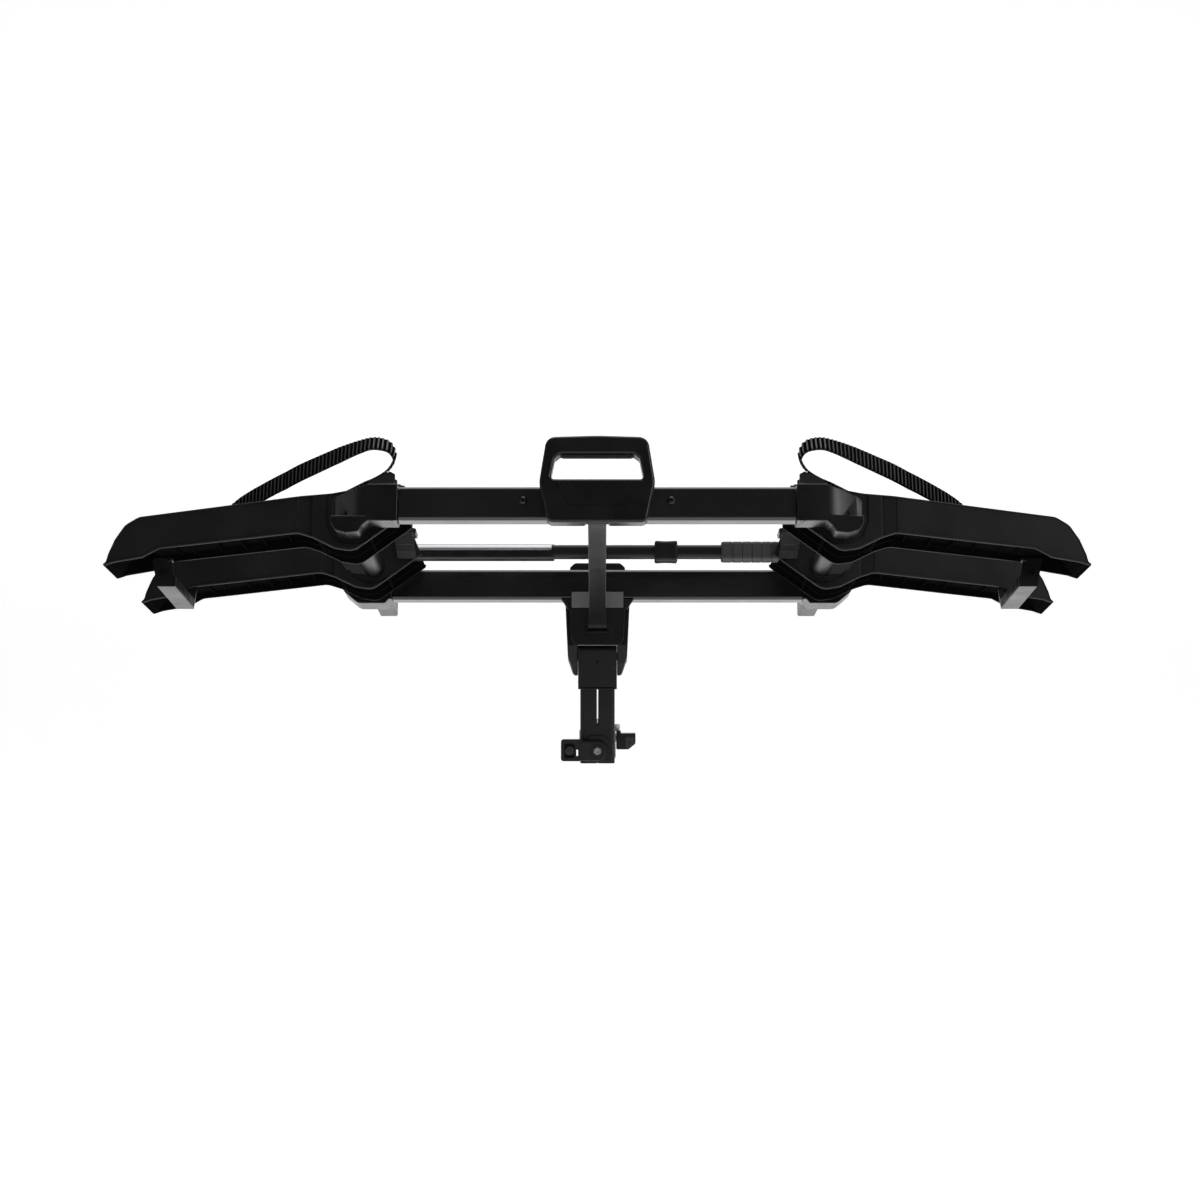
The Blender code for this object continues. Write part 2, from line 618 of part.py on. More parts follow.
def make_wheel_strap(row, label, side):
    """Ladder strap: out of the trough, round its leaning loop and back through the buckle."""
    centre = TRAY_CENTRES[row] + STRAP_SHIFT
    line = smooth_path(STRAP_LOOP, 3)
    peak = max(range(len(line)), key=lambda index: line[index][1])
    rings = []
    for index, (a, w) in enumerate(line):
        ahead = line[min(index + 1, len(line) - 1)] - line[max(index - 1, 0)]
        rise = max(w - STRAP_RISE_FROM, 0.0)
        turn = lean_at(w, STRAP_LEANS["out" if index < peak else "back"])
        across = Vector((0.0, cos(turn), sin(turn))) * STRAP_WIDTH / 2
        here = Vector((side * a, centre - rise * STRAP_SHIFT_SLOPE, w))
        tangent = Vector((side * ahead[0], -ahead[1] * STRAP_SHIFT_SLOPE * (rise > 0), ahead[1]))
        normal = tangent.cross(across).normalized() * STRAP_THICKNESS / 2
        rings.append([here - across - normal, here + across - normal, here + across + normal,
                      here - across + normal])
    add(f"wheel_strap_{row}_{label}", [skin(rings)],
        pivot=f"wing_pivot_{label}", material=black_rubber())


def make_buckle(row, label, side):
    """Ratchet lever under the strap's return, and the release button beside it."""
    middle = TRAY_CENTRES[row]
    pivot = f"buckle_pivot_{row}_{label}"
    add_pivot(pivot, (side * BUCKLE_PIN[0], middle, BUCKLE_PIN[1]), f"wing_pivot_{label}")
    lever = fillet(((0.2640, 0.1665), (0.2650, 0.1725), (0.2700, 0.1755), (0.2960, 0.1722),
                    (0.3060, 0.1690), (0.3060, 0.1645), (0.2850, 0.1655)), 0.0012, 2)
    centre = middle + STRAP_SHIFT
    half = STRAP_WIDTH / 2 + 0.0045
    add(f"buckle_lever_{row}_{label}",
        [prism(sided(lever, side), "Y", centre - half, centre + half)],
        pivot=pivot, material=black_plastic())
    near = middle - TRAY_HALF
    cap = fillet(((0.2590, 0.1195), (0.2860, 0.1195), (0.2920, 0.1575), (0.2650, 0.1575)), 0.003, 2)
    stem = block(sorted((side * 0.2650, side * 0.2840)), (near - 0.0034, near + 0.0015), (0.1265, 0.1515))
    add(f"strap_button_{row}_{label}",
        [prism(sided(cap, side), "Y", near - 0.0070, near - 0.0032), stem],
        pivot=f"wing_pivot_{label}", material=grey_plastic())


# Frame arms --------------------------------------------------------------------------------------


def make_arm(row, label, side):
    """Telescoping arm that swings about the wing axle on its side and lies across the middle."""
    v = TRAY_CENTRES[row] + ARM_SHIFT
    axle = (side * AXLE[0], AXLE[1])
    centre = (v, ARM_W)
    pivot = f"arm_pivot_{row}"
    add_pivot(pivot, (axle[0], v, axle[1]), "platform_pivot")
    neck = ((0.3330, 0.1200), (0.3230, 0.1480), (0.2830, 0.1480), (0.2830, 0.1210), (0.2980, 0.1210),
            (0.3070, 0.1000))
    add(f"arm_yoke_{row}",
        [prism(sided(neck, side), "Y", v - 0.0130, v + 0.0130),
         rod("Y", axle, 0.0185, v - 0.0120, v + 0.0120, 24)],
        [rod("Y", axle, AXLE_RADIUS + GAP, v - 0.02, v + 0.02, 28)],
        pivot=pivot, material=black_steel())
    tube = sorted((side * ARM_SOCKET, side * ARM_MOUTH))
    bore = sorted((side * (ARM_SOCKET - 0.010), side * (ARM_MOUTH - 0.010)))
    add(f"arm_tube_{row}",
        [rod("X", centre, ARM_RADIUS, *tube, 24)],
        [rod("X", centre, ARM_INNER_RADIUS + GAP, *bore, 24)],
        pivot=pivot, material=bare_metal())
    inner = sorted((side * (ARM_MOUTH + ARM_OVERLAP), side * (GRIP_SPAN[0] + 0.002)))
    collar = sorted(side * a for a in COLLAR_SPAN)
    block_outline = rectangle((v - 0.0135, v + 0.0135), (ARM_W - 0.0150, ARM_W + 0.0150), 0.004, 2)
    add(f"arm_inner_{row}",
        [rod("X", centre, ARM_INNER_RADIUS, *inner, 24),
         prism(block_outline, "X", *collar)],
        pivot=pivot, material=black_steel())
    grip = sorted(side * a for a in GRIP_SPAN)
    bore = sorted(side * a for a in (GRIP_SPAN[0] + 0.0015, GRIP_SPAN[1] + 0.010))
    add(f"arm_grip_{row}",
        [rod("X", centre, 0.0140, *grip, 24)],
        [rod("X", centre, ARM_INNER_RADIUS + GAP, *bore, 24)],
        pivot=pivot, material=black_rubber())


def build_rack():
    clear_scene()
    make_shank()
    make_riser()
    make_sleeve()
    make_tilt_bolt()
    make_wobble_drive()
    make_hitch_pin()
    add_pivot("platform_pivot", (0, 0, 0))
    platform = bpy.data.objects["platform_pivot"]
    platform.location = TILT_BOLT
    platform.rotation_euler = (-PLATFORM_TILT, 0, 0)
    make_crossbar("rear_crossbar", REAR_BAR, REAR_BAR_HALF_LENGTH)
    make_crossbar("front_crossbar", FRONT_BAR, FRONT_BAR_HALF_LENGTH)
    make_housing()
    make_housing_cover()
    make_handle()
    make_release_link()
    for label, side in SIDES.items():
        add_pivot(f"wing_pivot_{label}", (side * AXLE[0], 0, AXLE[1]), "platform_pivot")
        make_cheek(label, side)
        make_front_bracket(label, side)
        make_rear_bracket(label, side)
        make_axle(label, side)
        make_rail_foot(label, side)
        make_bar_bolt(label, side)
        make_wing_link(label, side)
        for row in TRAY_CENTRES:
            make_tray(row, label, side)
            make_wheel_strap(row, label, side)
            make_buckle(row, label, side)
    make_arm("front", "left", SIDES["left"])
    make_arm("rear", "right", SIDES["right"])


build_rack()
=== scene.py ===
"""Looks of a hitch mounted bike rack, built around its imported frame. Metres, row frame."""

import json
from math import atan2, cos, pi, radians, sin, tan

import bmesh
import bpy
from mathutils import Matrix, Vector


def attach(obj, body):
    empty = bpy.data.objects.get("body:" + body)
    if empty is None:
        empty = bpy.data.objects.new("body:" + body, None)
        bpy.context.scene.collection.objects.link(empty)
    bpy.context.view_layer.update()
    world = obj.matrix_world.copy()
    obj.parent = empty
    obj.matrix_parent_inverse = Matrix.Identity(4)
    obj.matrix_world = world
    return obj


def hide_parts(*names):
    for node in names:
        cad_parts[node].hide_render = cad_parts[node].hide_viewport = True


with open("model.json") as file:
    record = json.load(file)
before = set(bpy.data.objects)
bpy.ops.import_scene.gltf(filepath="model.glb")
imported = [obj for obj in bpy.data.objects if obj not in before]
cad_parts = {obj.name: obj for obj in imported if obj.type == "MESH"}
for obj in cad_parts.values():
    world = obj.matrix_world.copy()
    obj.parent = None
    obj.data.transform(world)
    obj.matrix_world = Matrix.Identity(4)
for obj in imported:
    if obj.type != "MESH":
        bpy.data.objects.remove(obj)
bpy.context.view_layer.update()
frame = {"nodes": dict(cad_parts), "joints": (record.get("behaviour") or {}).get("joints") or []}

JOINTS = {joint["name"]: joint for joint in frame["joints"]}
SIDES = {"left": -1, "right": 1}
ROWS = {"rear": -0.3395, "front": -0.0855}

# The platform's own frame: x across, v forward along the trays, w up from the trays.
UP = Vector(JOINTS["trigger_squeeze"]["axis"])
TILT_BOLT = Vector(JOINTS["platform_tilt"]["pos_m"])
FORWARD = Vector((0, UP.z, -UP.y))
PLATFORM = Matrix(((1, 0, 0, TILT_BOLT.x), (0, FORWARD.y, UP.y, TILT_BOLT.y),
                   (0, FORWARD.z, UP.z, TILT_BOLT.z), (0, 0, 0, 1)))
WORLD = Matrix.Identity(4)

AXLE = (0.320, 0.108)
AXLE_RADIUS = 0.014
REAR_BAR = (-0.410, 0.130)
FRONT_BAR = (-0.019, 0.102)
BAR_DEPTH = 0.030
BAR_HEIGHT = 0.045
BAR_WALL = 0.0025
REAR_BAR_HALF = 0.2597
FRONT_BAR_HALF = 0.3020
HOUSING_FACE = FRONT_BAR[0] - BAR_DEPTH / 2
GAP = 0.0003
HANDLE_BACK = REAR_BAR[0] - BAR_DEPTH / 2 - GAP


# Shapes


def along(axis, first, second, t):
    if axis == "X":
        return (t, first, second)
    if axis == "Y":
        return (first, t, second)
    return (first, second, t)


def link(item):
    bpy.context.scene.collection.objects.link(item)
    return item


def skin(rings):
    """A solid through rings that hold the same number of points."""
    shape = bmesh.new()
    rows = [[shape.verts.new(point) for point in ring] for ring in rings]
    shape.faces.new(reversed(rows[0]))
    shape.faces.new(rows[-1])
    for row, following in zip(rows, rows[1:]):
        for index in range(len(row)):
            shape.faces.new((row[index - 1], row[index], following[index], following[index - 1]))
    bmesh.ops.recalc_face_normals(shape, faces=shape.faces)
    mesh = bpy.data.meshes.new("shape")
    shape.to_mesh(mesh)
    shape.free()
    return mesh


def prism(outline, axis, low, high):
    return skin([[along(axis, a, b, t) for a, b in outline] for t in (low, high)])


def block(x, y, z):
    x, y, z = sorted(x), sorted(y), sorted(z)
    corners = ((x[0], y[0]), (x[1], y[0]), (x[1], y[1]), (x[0], y[1]))
    return prism(corners, "Z", z[0], z[1])


def circle(centre, radius, count=48):
    turns = [2 * pi * (index + 0.5) / count for index in range(count)]
    return [(centre[0] + radius * cos(turn), centre[1] + radius * sin(turn)) for turn in turns]


def rod(axis, centre, radius, low, high, count=48):
    return prism(circle(centre, radius, count), axis, low, high)


def lathe(axis, centre, profile, count=48):
    """A turned solid: profile holds (t, radius) along the axis."""
    return skin([[along(axis, a, b, t) for a, b in circle(centre, radius, count)] for t, radius in profile])


def corners_of(points, radii, steps=6):
    """Each corner of the polygon as its own list of points, rounded by its radius."""
    if not isinstance(radii, (list, tuple)):
        radii = [radii] * len(points)
    rounded = []
    for index, corner in enumerate(points):
        here = Vector(corner)
        before = Vector(points[index - 1]) - here
        after = Vector(points[(index + 1) % len(points)]) - here
        if radii[index] == 0:
            rounded.append([tuple(here)])
            continue
        half = before.angle(after) / 2
        reach = min(radii[index] / tan(half), 0.48 * before.length, 0.48 * after.length)
        radius = reach * tan(half)
        middle = here + (before.normalized() + after.normalized()).normalized() * (radius / sin(half))
        start = here + before.normalized() * reach - middle
        end = here + after.normalized() * reach - middle
        first = atan2(start.y, start.x)
        sweep = atan2(start.cross(end), start.dot(end))
        turns = [first + sweep * step / steps for step in range(steps + 1)]
        rounded.append([(middle.x + radius * cos(turn), middle.y + radius * sin(turn)) for turn in turns])
    return rounded


def fillet(points, radii, steps=6):
    return [point for corner in corners_of(points, radii, steps) for point in corner]


def rectangle(first, second, radius=0.0, steps=6):
    corners = ((first[0], second[0]), (first[1], second[0]), (first[1], second[1]), (first[0], second[1]))
    return fillet(corners, radius, steps)


def sided(outline, side):
    return [(side * a, w) for a, w in outline]


def smooth_path(points, steps):
    """A Catmull-Rom curve through the points."""
    curve = []
    last = len(points) - 1
    for index in range(last):
        near = [Vector(points[min(max(index + shift, 0), last)]) for shift in (-1, 0, 1, 2)]
        for step in range(steps):
            t = step / steps
            curve.append(0.5 * (2 * near[1] + (near[2] - near[0]) * t
                                + (2 * near[0] - 5 * near[1] + 4 * near[2] - near[3]) * t ** 2
                                + (3 * near[1] - near[0] - 3 * near[2] + near[3]) * t ** 3))
    curve.append(Vector(points[last]))
    return curve


def bead(path, width, height, side, v, count=10):
    """A rounded lip that follows a side outline at one v: width lies along v, height across the outline."""
    rings = []
    for index, point in enumerate(path):
        ahead = Vector(path[min(index + 1, len(path) - 1)]) - Vector(path[max(index - 1, 0)])
        across = Vector((-ahead[1], ahead[0])).normalized()
        ring = []
        for step in range(count):
            turn = 2 * pi * step / count
            a = point[0] + across[0] * cos(turn) * height / 2
            w = point[1] + across[1] * cos(turn) * height / 2
            ring.append((side * a, v + sin(turn) * width / 2, w))
        rings.append(ring)
    return skin(rings)


def tube(points, radii, count=12):
    """A round bar along a path of points in space, with its radius at each."""
    points = [Vector(point) for point in points]
    rings = []
    for index, (point, radius) in enumerate(zip(points, radii)):
        ahead = (points[min(index + 1, len(points) - 1)] - points[max(index - 1, 0)]).normalized()
        first = ahead.cross(Vector((0.31, 0.57, 0.76))).normalized()
        second = ahead.cross(first)
        turns = [2 * pi * step / count for step in range(count)]
        rings.append([point + (first * cos(turn) + second * sin(turn)) * radius for turn in turns])
    return skin(rings)


def solid(shapes, cuts=(), bevel=0.0, segments=2, angle=34, place=PLATFORM, clamp=False):
    """Shapes joined, cuts taken out and edges rounded, as one mesh in the row frame."""
    helpers = []
    for mesh in (*shapes, *cuts):
        helpers.append(link(bpy.data.objects.new("helper", mesh)))
    for index, other in enumerate(helpers[1:], 1):
        step = helpers[0].modifiers.new("shape", "BOOLEAN")
        step.operation = "UNION" if index < len(shapes) else "DIFFERENCE"
        step.object = other
    if bevel:
        edge = helpers[0].modifiers.new("edge", "BEVEL")
        edge.width = bevel
        edge.segments = segments
        edge.limit_method = "ANGLE"
        edge.angle_limit = radians(angle)
        edge.use_clamp_overlap = clamp
        edge.miter_outer = "MITER_SHARP" if clamp else "MITER_ARC"
    bpy.context.view_layer.update()
    graph = bpy.context.evaluated_depsgraph_get()
    mesh = bpy.data.meshes.new_from_object(helpers[0].evaluated_get(graph))
    for item in helpers:
        bpy.data.objects.remove(item, do_unlink=True)
    mesh.transform(place)
    return mesh


def trim(mesh, cuts, place=PLATFORM):
    """A finished mesh with more taken out of it, its edges there left crisp."""
    mesh.transform(place.inverted())
    return solid([mesh], cuts, place=place)


def piece(name, meshes, body, material, nodes=(), sharp=38):
    """One visible piece, riding on a body, in the place of CAD nodes."""
    shape = bmesh.new()
    for mesh in meshes:
        shape.from_mesh(mesh)
    bmesh.ops.remove_doubles(shape, verts=shape.verts, dist=1e-6)
    mesh = bpy.data.meshes.new(name)
    shape.to_mesh(mesh)
    shape.free()
    mesh.shade_smooth()
    mesh.set_sharp_from_angle(angle=radians(sharp))
    item = link(bpy.data.objects.new(name, mesh))
    even = item.modifiers.new("normals", "WEIGHTED_NORMAL")
    even.keep_sharp = True
    mesh.materials.append(material)
    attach(item, body)
    if nodes:
        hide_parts(*nodes)
    return item


def coat_where(item, material, test):
    """A second material on the faces whose centre, in the platform's frame, passes the test."""
    item.data.materials.append(material)
    level = PLATFORM.inverted()
    for face in item.data.polygons:
        face.material_index = int(test(level @ face.center))


# Materials


def surface(name, dark, light, rough, grain, bump, specular=0.5, metal=0.0, blue=0.0,
            stretch=(1, 1, 1), spread=0.06):
    """A node material: mottled colour, fine grain in the bump and uneven gloss."""
    made = bpy.data.materials.new(name)
    made.use_nodes = True
    nodes, links = made.node_tree.nodes, made.node_tree.links
    shader = nodes["Principled BSDF"]
    shader.inputs["Metallic"].default_value = metal
    shader.inputs["Specular IOR Level"].default_value = specular
    place = nodes.new("ShaderNodeTexCoord")
    scale = nodes.new("ShaderNodeMapping")
    scale.inputs["Scale"].default_value = stretch
    links.new(place.outputs["Object"], scale.inputs["Vector"])

    def noise(size, detail):
        node = nodes.new("ShaderNodeTexNoise")
        node.inputs["Scale"].default_value = size
        node.inputs["Detail"].default_value = detail
        node.inputs["Roughness"].default_value = 0.55
        links.new(scale.outputs["Vector"], node.inputs["Vector"])
        return node.outputs["Fac"]

    def between(fac, low, high):
        node = nodes.new("ShaderNodeMapRange")
        node.inputs["From Min"].default_value = 0.3
        node.inputs["From Max"].default_value = 0.7
        node.inputs["To Min"].default_value = low
        node.inputs["To Max"].default_value = high
        links.new(fac, node.inputs["Value"])
        return node.outputs["Result"]

    cloud = noise(18, 4)
    fine = noise(grain, 3)
    tone = nodes.new("ShaderNodeMix")
    tone.data_type = "RGBA"
    tone.inputs["A"].default_value = (dark, dark, dark + blue, 1)
    tone.inputs["B"].default_value = (light, light, light + blue, 1)
    links.new(between(cloud, 0, 1), tone.inputs["Factor"])
    links.new(tone.outputs["Result"], shader.inputs["Base Color"])
    links.new(between(cloud, rough - spread, rough + spread), shader.inputs["Roughness"])
    relief = nodes.new("ShaderNodeBump")
    relief.inputs["Strength"].default_value = bump
    relief.inputs["Distance"].default_value = 0.0002
    links.new(fine, relief.inputs["Height"])
    links.new(relief.outputs["Normal"], shader.inputs["Normal"])
    return made


STEEL = surface("powder_coat", 0.0055, 0.0085, 0.40, 1300, 0.06, 0.28)
SATIN = surface("satin_paint", 0.0060, 0.0080, 0.34, 700, 0.04, 0.28)
ENAMEL = surface("bar_enamel", 0.0060, 0.0080, 0.20, 700, 0.006, 0.70)
PLASTIC = surface("moulded_plastic", 0.0050, 0.0070, 0.45, 1900, 0.07, 0.28)
# Darker plastic with no gloss: painted shade, laid on the trays' inner faces and the strap's groove floors;
# its rough grain is the real matte surface.
PAINTED_SHADE_MATTE = surface("matte_plastic_painted_shade", 0.0040, 0.0055, 0.70, 1900, 0.06, 0.0)
GLOSSY = surface("gloss_plastic", 0.0050, 0.0070, 0.28, 500, 0.03, 0.35)
# Light grey standing in for the bright floor seen in the housing's downward face: a painted reflection.
PAINTED_FLOOR_REFLECTION = surface("painted_floor_reflection_grey", 0.085, 0.105, 0.36, 900, 0.05)
PAD = surface("grey_pad", 0.022, 0.034, 0.30, 1500, 0.05, 0.4)
RUBBER = surface("ribbed_rubber", 0.032, 0.044, 0.48, 1600, 0.08, 0.4)
SILVER = surface("drawn_alloy", 0.30, 0.42, 0.34, 900, 0.05, metal=1.0, blue=0.01,
                 stretch=(0.03, 1, 1), spread=0.05)
ZINC = surface("plated_steel", 0.24, 0.38, 0.34, 1200, 0.06, metal=1.0, blue=0.01)
DARK_ZINC = surface("black_oxide", 0.030, 0.050, 0.32, 1200, 0.06, metal=0.9)
KNOB = surface("clear_knob", 0.55, 0.70, 0.25, 800, 0.04)


# Hitch

TUBE = 0.0508
SHANK_BACK = -0.234
RISER_Y = SHANK_BACK - GAP - TUBE / 2
RISER_REAR = RISER_Y - TUBE / 2
ROD_Z = -0.0057
PIN_PLACE = (-0.075, 0.0)


def square(middle, half, radius, steps=6):
    return rectangle((-half, half), (middle - half, middle + half), radius, steps)


def weld(points, radius, ripple=0.0011):
    """A bead of overlapping ripples along a path."""
    path = []
    for start, end in zip(points, points[1:]):
        start, end = Vector(start), Vector(end)
        count = max(2, int((end - start).length / ripple))
        path += [start.lerp(end, index / count) for index in range(count)]
    path.append(Vector(points[-1]))
    return tube(path, [radius * (0.88 + 0.12 * sin(index * 2 * pi / 3)) for index in range(len(path))], 10)


def make_hitch():
    half = TUBE / 2
    inner = half - 0.004
    shank = solid([prism(square(0, half, 0.006), "Y", SHANK_BACK, 0.0)],
                  [prism(square(0, inner, 0.003), "Y", SHANK_BACK - 0.01, -0.030),
                   rod("X", PIN_PLACE, 0.0066, -0.04, 0.04),
                   block((-0.0108, 0.0108), (-0.151, -0.125), (-0.030, -0.015))],
                  0.0012, 3, place=WORLD)
    seam = [(x * (half - 0.001), SHANK_BACK + 0.0005, z * (half - 0.001))
            for x, z in ((-0.8, -1), (0.8, -1), (1, -0.8), (1, 0.8), (0.8, 1), (-0.8, 1),
                         (-1, 0.8), (-1, -0.8), (-0.8, -1))]
    piece("shank_tube", [shank, weld(seam, 0.0030)], "hitch_frame", STEEL, ["hitch_shank"])
    front, back = RISER_Y - half, RISER_Y + half
    slit = block((-0.0009, 0.0009), (front - 0.01, back + 0.01), (0.033, 0.0835))
    notch = prism(((-0.0025, -0.030), (0.0025, -0.030), (0.0, -0.0222)), "Y", front - 0.01, front + 0.01)
    riser = solid([prism(square(RISER_Y, half, 0.006), "Z", -half, 0.112)],
                  [prism(square(RISER_Y, inner, 0.003), "Z", -0.021, 0.13),
                   rod("Y", (0, ROD_Z), 0.0045, front - 0.01, back + 0.01), slit,
                   rod("Y", (0, 0.033), 0.0017, front - 0.01, back + 0.01, 20), notch],
                  0.0007, 2, place=WORLD)
    piece("riser_tube", [riser], "hitch_frame", STEEL, ["riser_post"])
    low, high = RISER_Y - 0.0285, RISER_Y + 0.0285
    outline = fillet(((low, 0.084), (high, 0.084), (high, 0.148), (low, 0.148)), (0.0, 0.0, 0.008, 0.008), 10)
    room = half + GAP
    collar = rectangle((-0.0285, 0.0285), (low, high), 0.0045)
    sleeve = solid([prism(outline, "X", -0.0285, 0.0285)], [], 0.0010, 2, place=WORLD)
    sleeve = trim(sleeve, [block((-room, room), (RISER_Y - room, RISER_Y + room), (0.07, 0.1123)),
                           rod("X", tuple(TILT_BOLT)[1:], 0.0063, -0.04, 0.04),
                           rod("Y", (0, 0.1245), 0.0019, low - 0.01, low + 0.006, 24),
                           *(block((x, x + 0.008), (low - 0.01, low + 0.0009), (0.1394, 0.1406))
                             for x in (-0.027, 0.019))], WORLD)
    rim = solid([prism(collar, "Z", 0.0835, 0.0872)],
                [block((-room, room), (RISER_Y - room, RISER_Y + room), (0.07, 0.1))], 0.0006, place=WORLD)
    piece("sleeve_casting", [sleeve, rim], "hitch_frame", STEEL, ["riser_sleeve"])


def hexagon(axis, centre, radius, low, high, bevel=0.0006):
    return solid([prism(circle(centre, radius, 6), axis, low, high)], [], bevel, 2, place=WORLD)


def make_tilt_bolt():
    """Bolt head and nut, sunk in the outer faces of the cheeks."""
    centre = tuple(TILT_BOLT)[1:]
    shank = lathe("X", centre, ((-0.0430, 0.0050), (-0.0424, 0.0059), (0.0390, 0.0059)))
    piece("bolt_with_head", [shank, hexagon("X", centre, 0.0094, 0.0385, 0.0430)], "hitch_frame",
          DARK_ZINC, ["tilt_bolt"])
    nut = solid([prism(circle(centre, 0.0094, 6), "X", -0.0428, -0.0385)],
                [rod("X", centre, 0.0060, -0.07, -0.03)], 0.0006, 2, place=WORLD)
    piece("lock_nut", [nut], "hitch_frame", DARK_ZINC, ["tilt_nut"])


def make_lever():
    face = RISER_REAR - GAP
    centre = (0, ROD_Z)
    outline = fillet(((-0.0215, -0.0225), (0.0200, -0.0225), (0.0225, -0.012), (0.0225, 0.002),
                      (0.0120, 0.0155), (-0.0100, 0.0155), (-0.0215, 0.006)),
                     (0.004, 0.003, 0.008, 0.008, 0.006, 0.004, 0.004))
    plate = solid([prism(outline, "Y", face - 0.0025, face)],
                  [rod("Y", centre, 0.0045, face - 0.01, face + 0.01)], 0.0006, 2, place=WORLD)
    piece("backing_plate", [plate], "hitch_frame", SATIN, ["lever_plate"])
    near = face - 0.0025 - GAP
    body = fillet(((-0.0535, -0.0212), (-0.027, -0.0212), (-0.024, -0.0205), (0.0, -0.0205),
                   (0.0125, -0.016), (0.0125, 0.004), (0.0, 0.0080), (-0.022, 0.0080), (-0.024, 0.0108),
                   (-0.0535, 0.0108)),
                  (0.004, 0.001, 0.001, 0.008, 0.009, 0.009, 0.006, 0.001, 0.002, 0.004))
    lever = solid([prism(body, "Y", near - 0.012, near)],
                  [block((-0.0480, -0.0340), (near - 0.02, near - 0.0040), (-0.0158, 0.0052)),
                   block((-0.0310, -0.0284), (near - 0.02, near + 0.01), (-0.0140, -0.0040)),
                   rod("Y", centre, 0.0072, near - 0.02, near - 0.0105),
                   rod("Y", centre, 0.0043, -0.32, -0.27)],
                  0.0010, 3, place=WORLD)
    outline = fillet(((-0.0270, -0.0200), (0.0060, -0.0200), (0.0105, -0.0120), (0.0105, 0.000),
                      (0.0060, 0.0068), (-0.0270, 0.0068)), (0.001, 0.007, 0.007, 0.007, 0.007, 0.001))
    step = solid([prism(outline, "Y", near - 0.0128, near - 0.010)],
                 [rod("Y", centre, 0.0088, near - 0.02, near)], 0.0006, 2, place=WORLD)
    ribs = [solid([block((-0.0530, -0.0526), (near - 0.0116, near - 0.0006), (z, z + 0.0010))],
                  [], 0.0, place=WORLD) for z in (-0.016, -0.012, -0.008, -0.004, 0.0, 0.004)]
    piece("lever_body", [lever, step, *ribs], "wobble_lever", PLASTIC, ["wobble_lever"])
    barrel = solid([lathe("Y", (-0.0410, -0.0053), ((near - 0.0128, 0.0050), (near - 0.0122, 0.0062),
                                                    (near - 0.0116, 0.0066), (near - 0.0043, 0.0066)))],
                   [block((-0.0414, -0.0406), (near - 0.02, near - 0.0116), (-0.0092, -0.0014)),
                    *(rod("Y", point, 0.0005, near - 0.02, near - 0.0050, 8)
                      for point in circle((-0.0410, -0.0053), 0.0068, 18))],
                   0.0, place=WORLD)
    piece("lock_barrel", [barrel], "wobble_lever", DARK_ZINC, ["lever_lock"])
    nut = near - 0.012 - GAP
    turned = solid([lathe("Y", centre, ((nut - 0.0042, 0.0032), (nut - 0.0038, 0.0039), (-0.118, 0.0039)))],
                   place=WORLD)
    washer = solid([rod("Y", centre, 0.0083, nut - 0.0013, nut)], [rod("Y", centre, 0.0042, -0.4, -0.2)],
                   0.0004, 2, place=WORLD)
    head = solid([prism(circle(centre, 0.0057, 6), "Y", nut - 0.0062, nut - 0.0013)],
                 [rod("Y", centre, 0.0030, nut - 0.0080, nut - 0.0040, 6)], 0.0005, 2, place=WORLD)
    piece("draw_bolt", [turned, head], "wobble_lever", ZINC, ["draw_rod"])
    piece("bolt_washer", [washer], "wobble_lever", DARK_ZINC)


def make_pin():
    shaft = solid([lathe("X", PIN_PLACE, ((-0.0262, 0.0048), (-0.0256, 0.0062), (0.034, 0.0062)))],
                  place=WORLD)
    piece("pin_shaft", [shaft], "hitch_pin", ZINC, ["hitch_pin"])
    near, far = PIN_PLACE[0] - 0.012, PIN_PLACE[0] + 0.012
    outline = fillet(((0.0290, -0.0180), (0.0480, -0.0180), (0.0590, -0.0090), (0.0590, 0.0064),
                      (0.0360, 0.0064), (0.0360, 0.0110), (0.0290, 0.0110)),
                     (0.002, 0.005, 0.004, 0.001, 0.001, 0.001, 0.001))
    lock = solid([prism(outline, "Y", near, far)], [rod("X", PIN_PLACE, 0.0066, 0.02, 0.0345)], 0.0008, 2,
                 place=WORLD)
    cover = solid([prism(fillet(((0.0430, -0.0165), (0.0480, -0.0165), (0.0575, -0.0085), (0.0575, 0.0020),
                                 (0.0430, 0.0020)), 0.002), "Y", near - 0.0012, near + 0.001)],
                  [block((0.0490, 0.0500), (near - 0.01, near - 0.0006), (-0.0110, -0.0040))], 0.0004, 2,
                  place=WORLD)
    outline = fillet(((0.0330, 0.0042), (0.0585, 0.0042), (0.0592, 0.0068), (0.0330, 0.0068)), 0.0006)
    flap = solid([prism(outline, "Y", near - 0.0010, far + 0.0010)], [], 0.0004, place=WORLD)
    piece("pin_lock_body", [lock, flap], "hitch_pin", PLASTIC, ["pin_lock"])
    piece("pin_lock_cover", [cover], "hitch_pin", PAD)
    profile = ((0.0100, 0.0030), (0.0125, 0.0034), (0.0150, 0.0044), (0.0190, 0.0046), (0.0212, 0.0032))
    knob = solid([lathe("Z", (TUBE / 2 + 0.0052, PIN_PLACE[0]), profile, 24)], place=WORLD)
    piece("clip_knob", [knob], "hitch_pin", KNOB)


# Platform


def bar_outline(centre, inset, radius, steps):
    (v, w), deep, high = centre, BAR_DEPTH / 2 - inset, BAR_HEIGHT / 2 - inset
    return rectangle((v - deep, v + deep), (w - high, w + high), radius, steps)


def make_bars():
    for name, node, centre, half in (("rear_tube", "rear_crossbar", REAR_BAR, REAR_BAR_HALF),
                                     ("front_tube", "front_crossbar", FRONT_BAR, FRONT_BAR_HALF)):
        bar = solid([prism(bar_outline(centre, 0.0, 0.005, 8), "X", -half, half)],
                    [prism(bar_outline(centre, BAR_WALL, 0.0028, 4), "X", -half - 0.02, half + 0.02)],
                    0.0004, 1)
        piece(name, [bar], "platform", ENAMEL, [node])


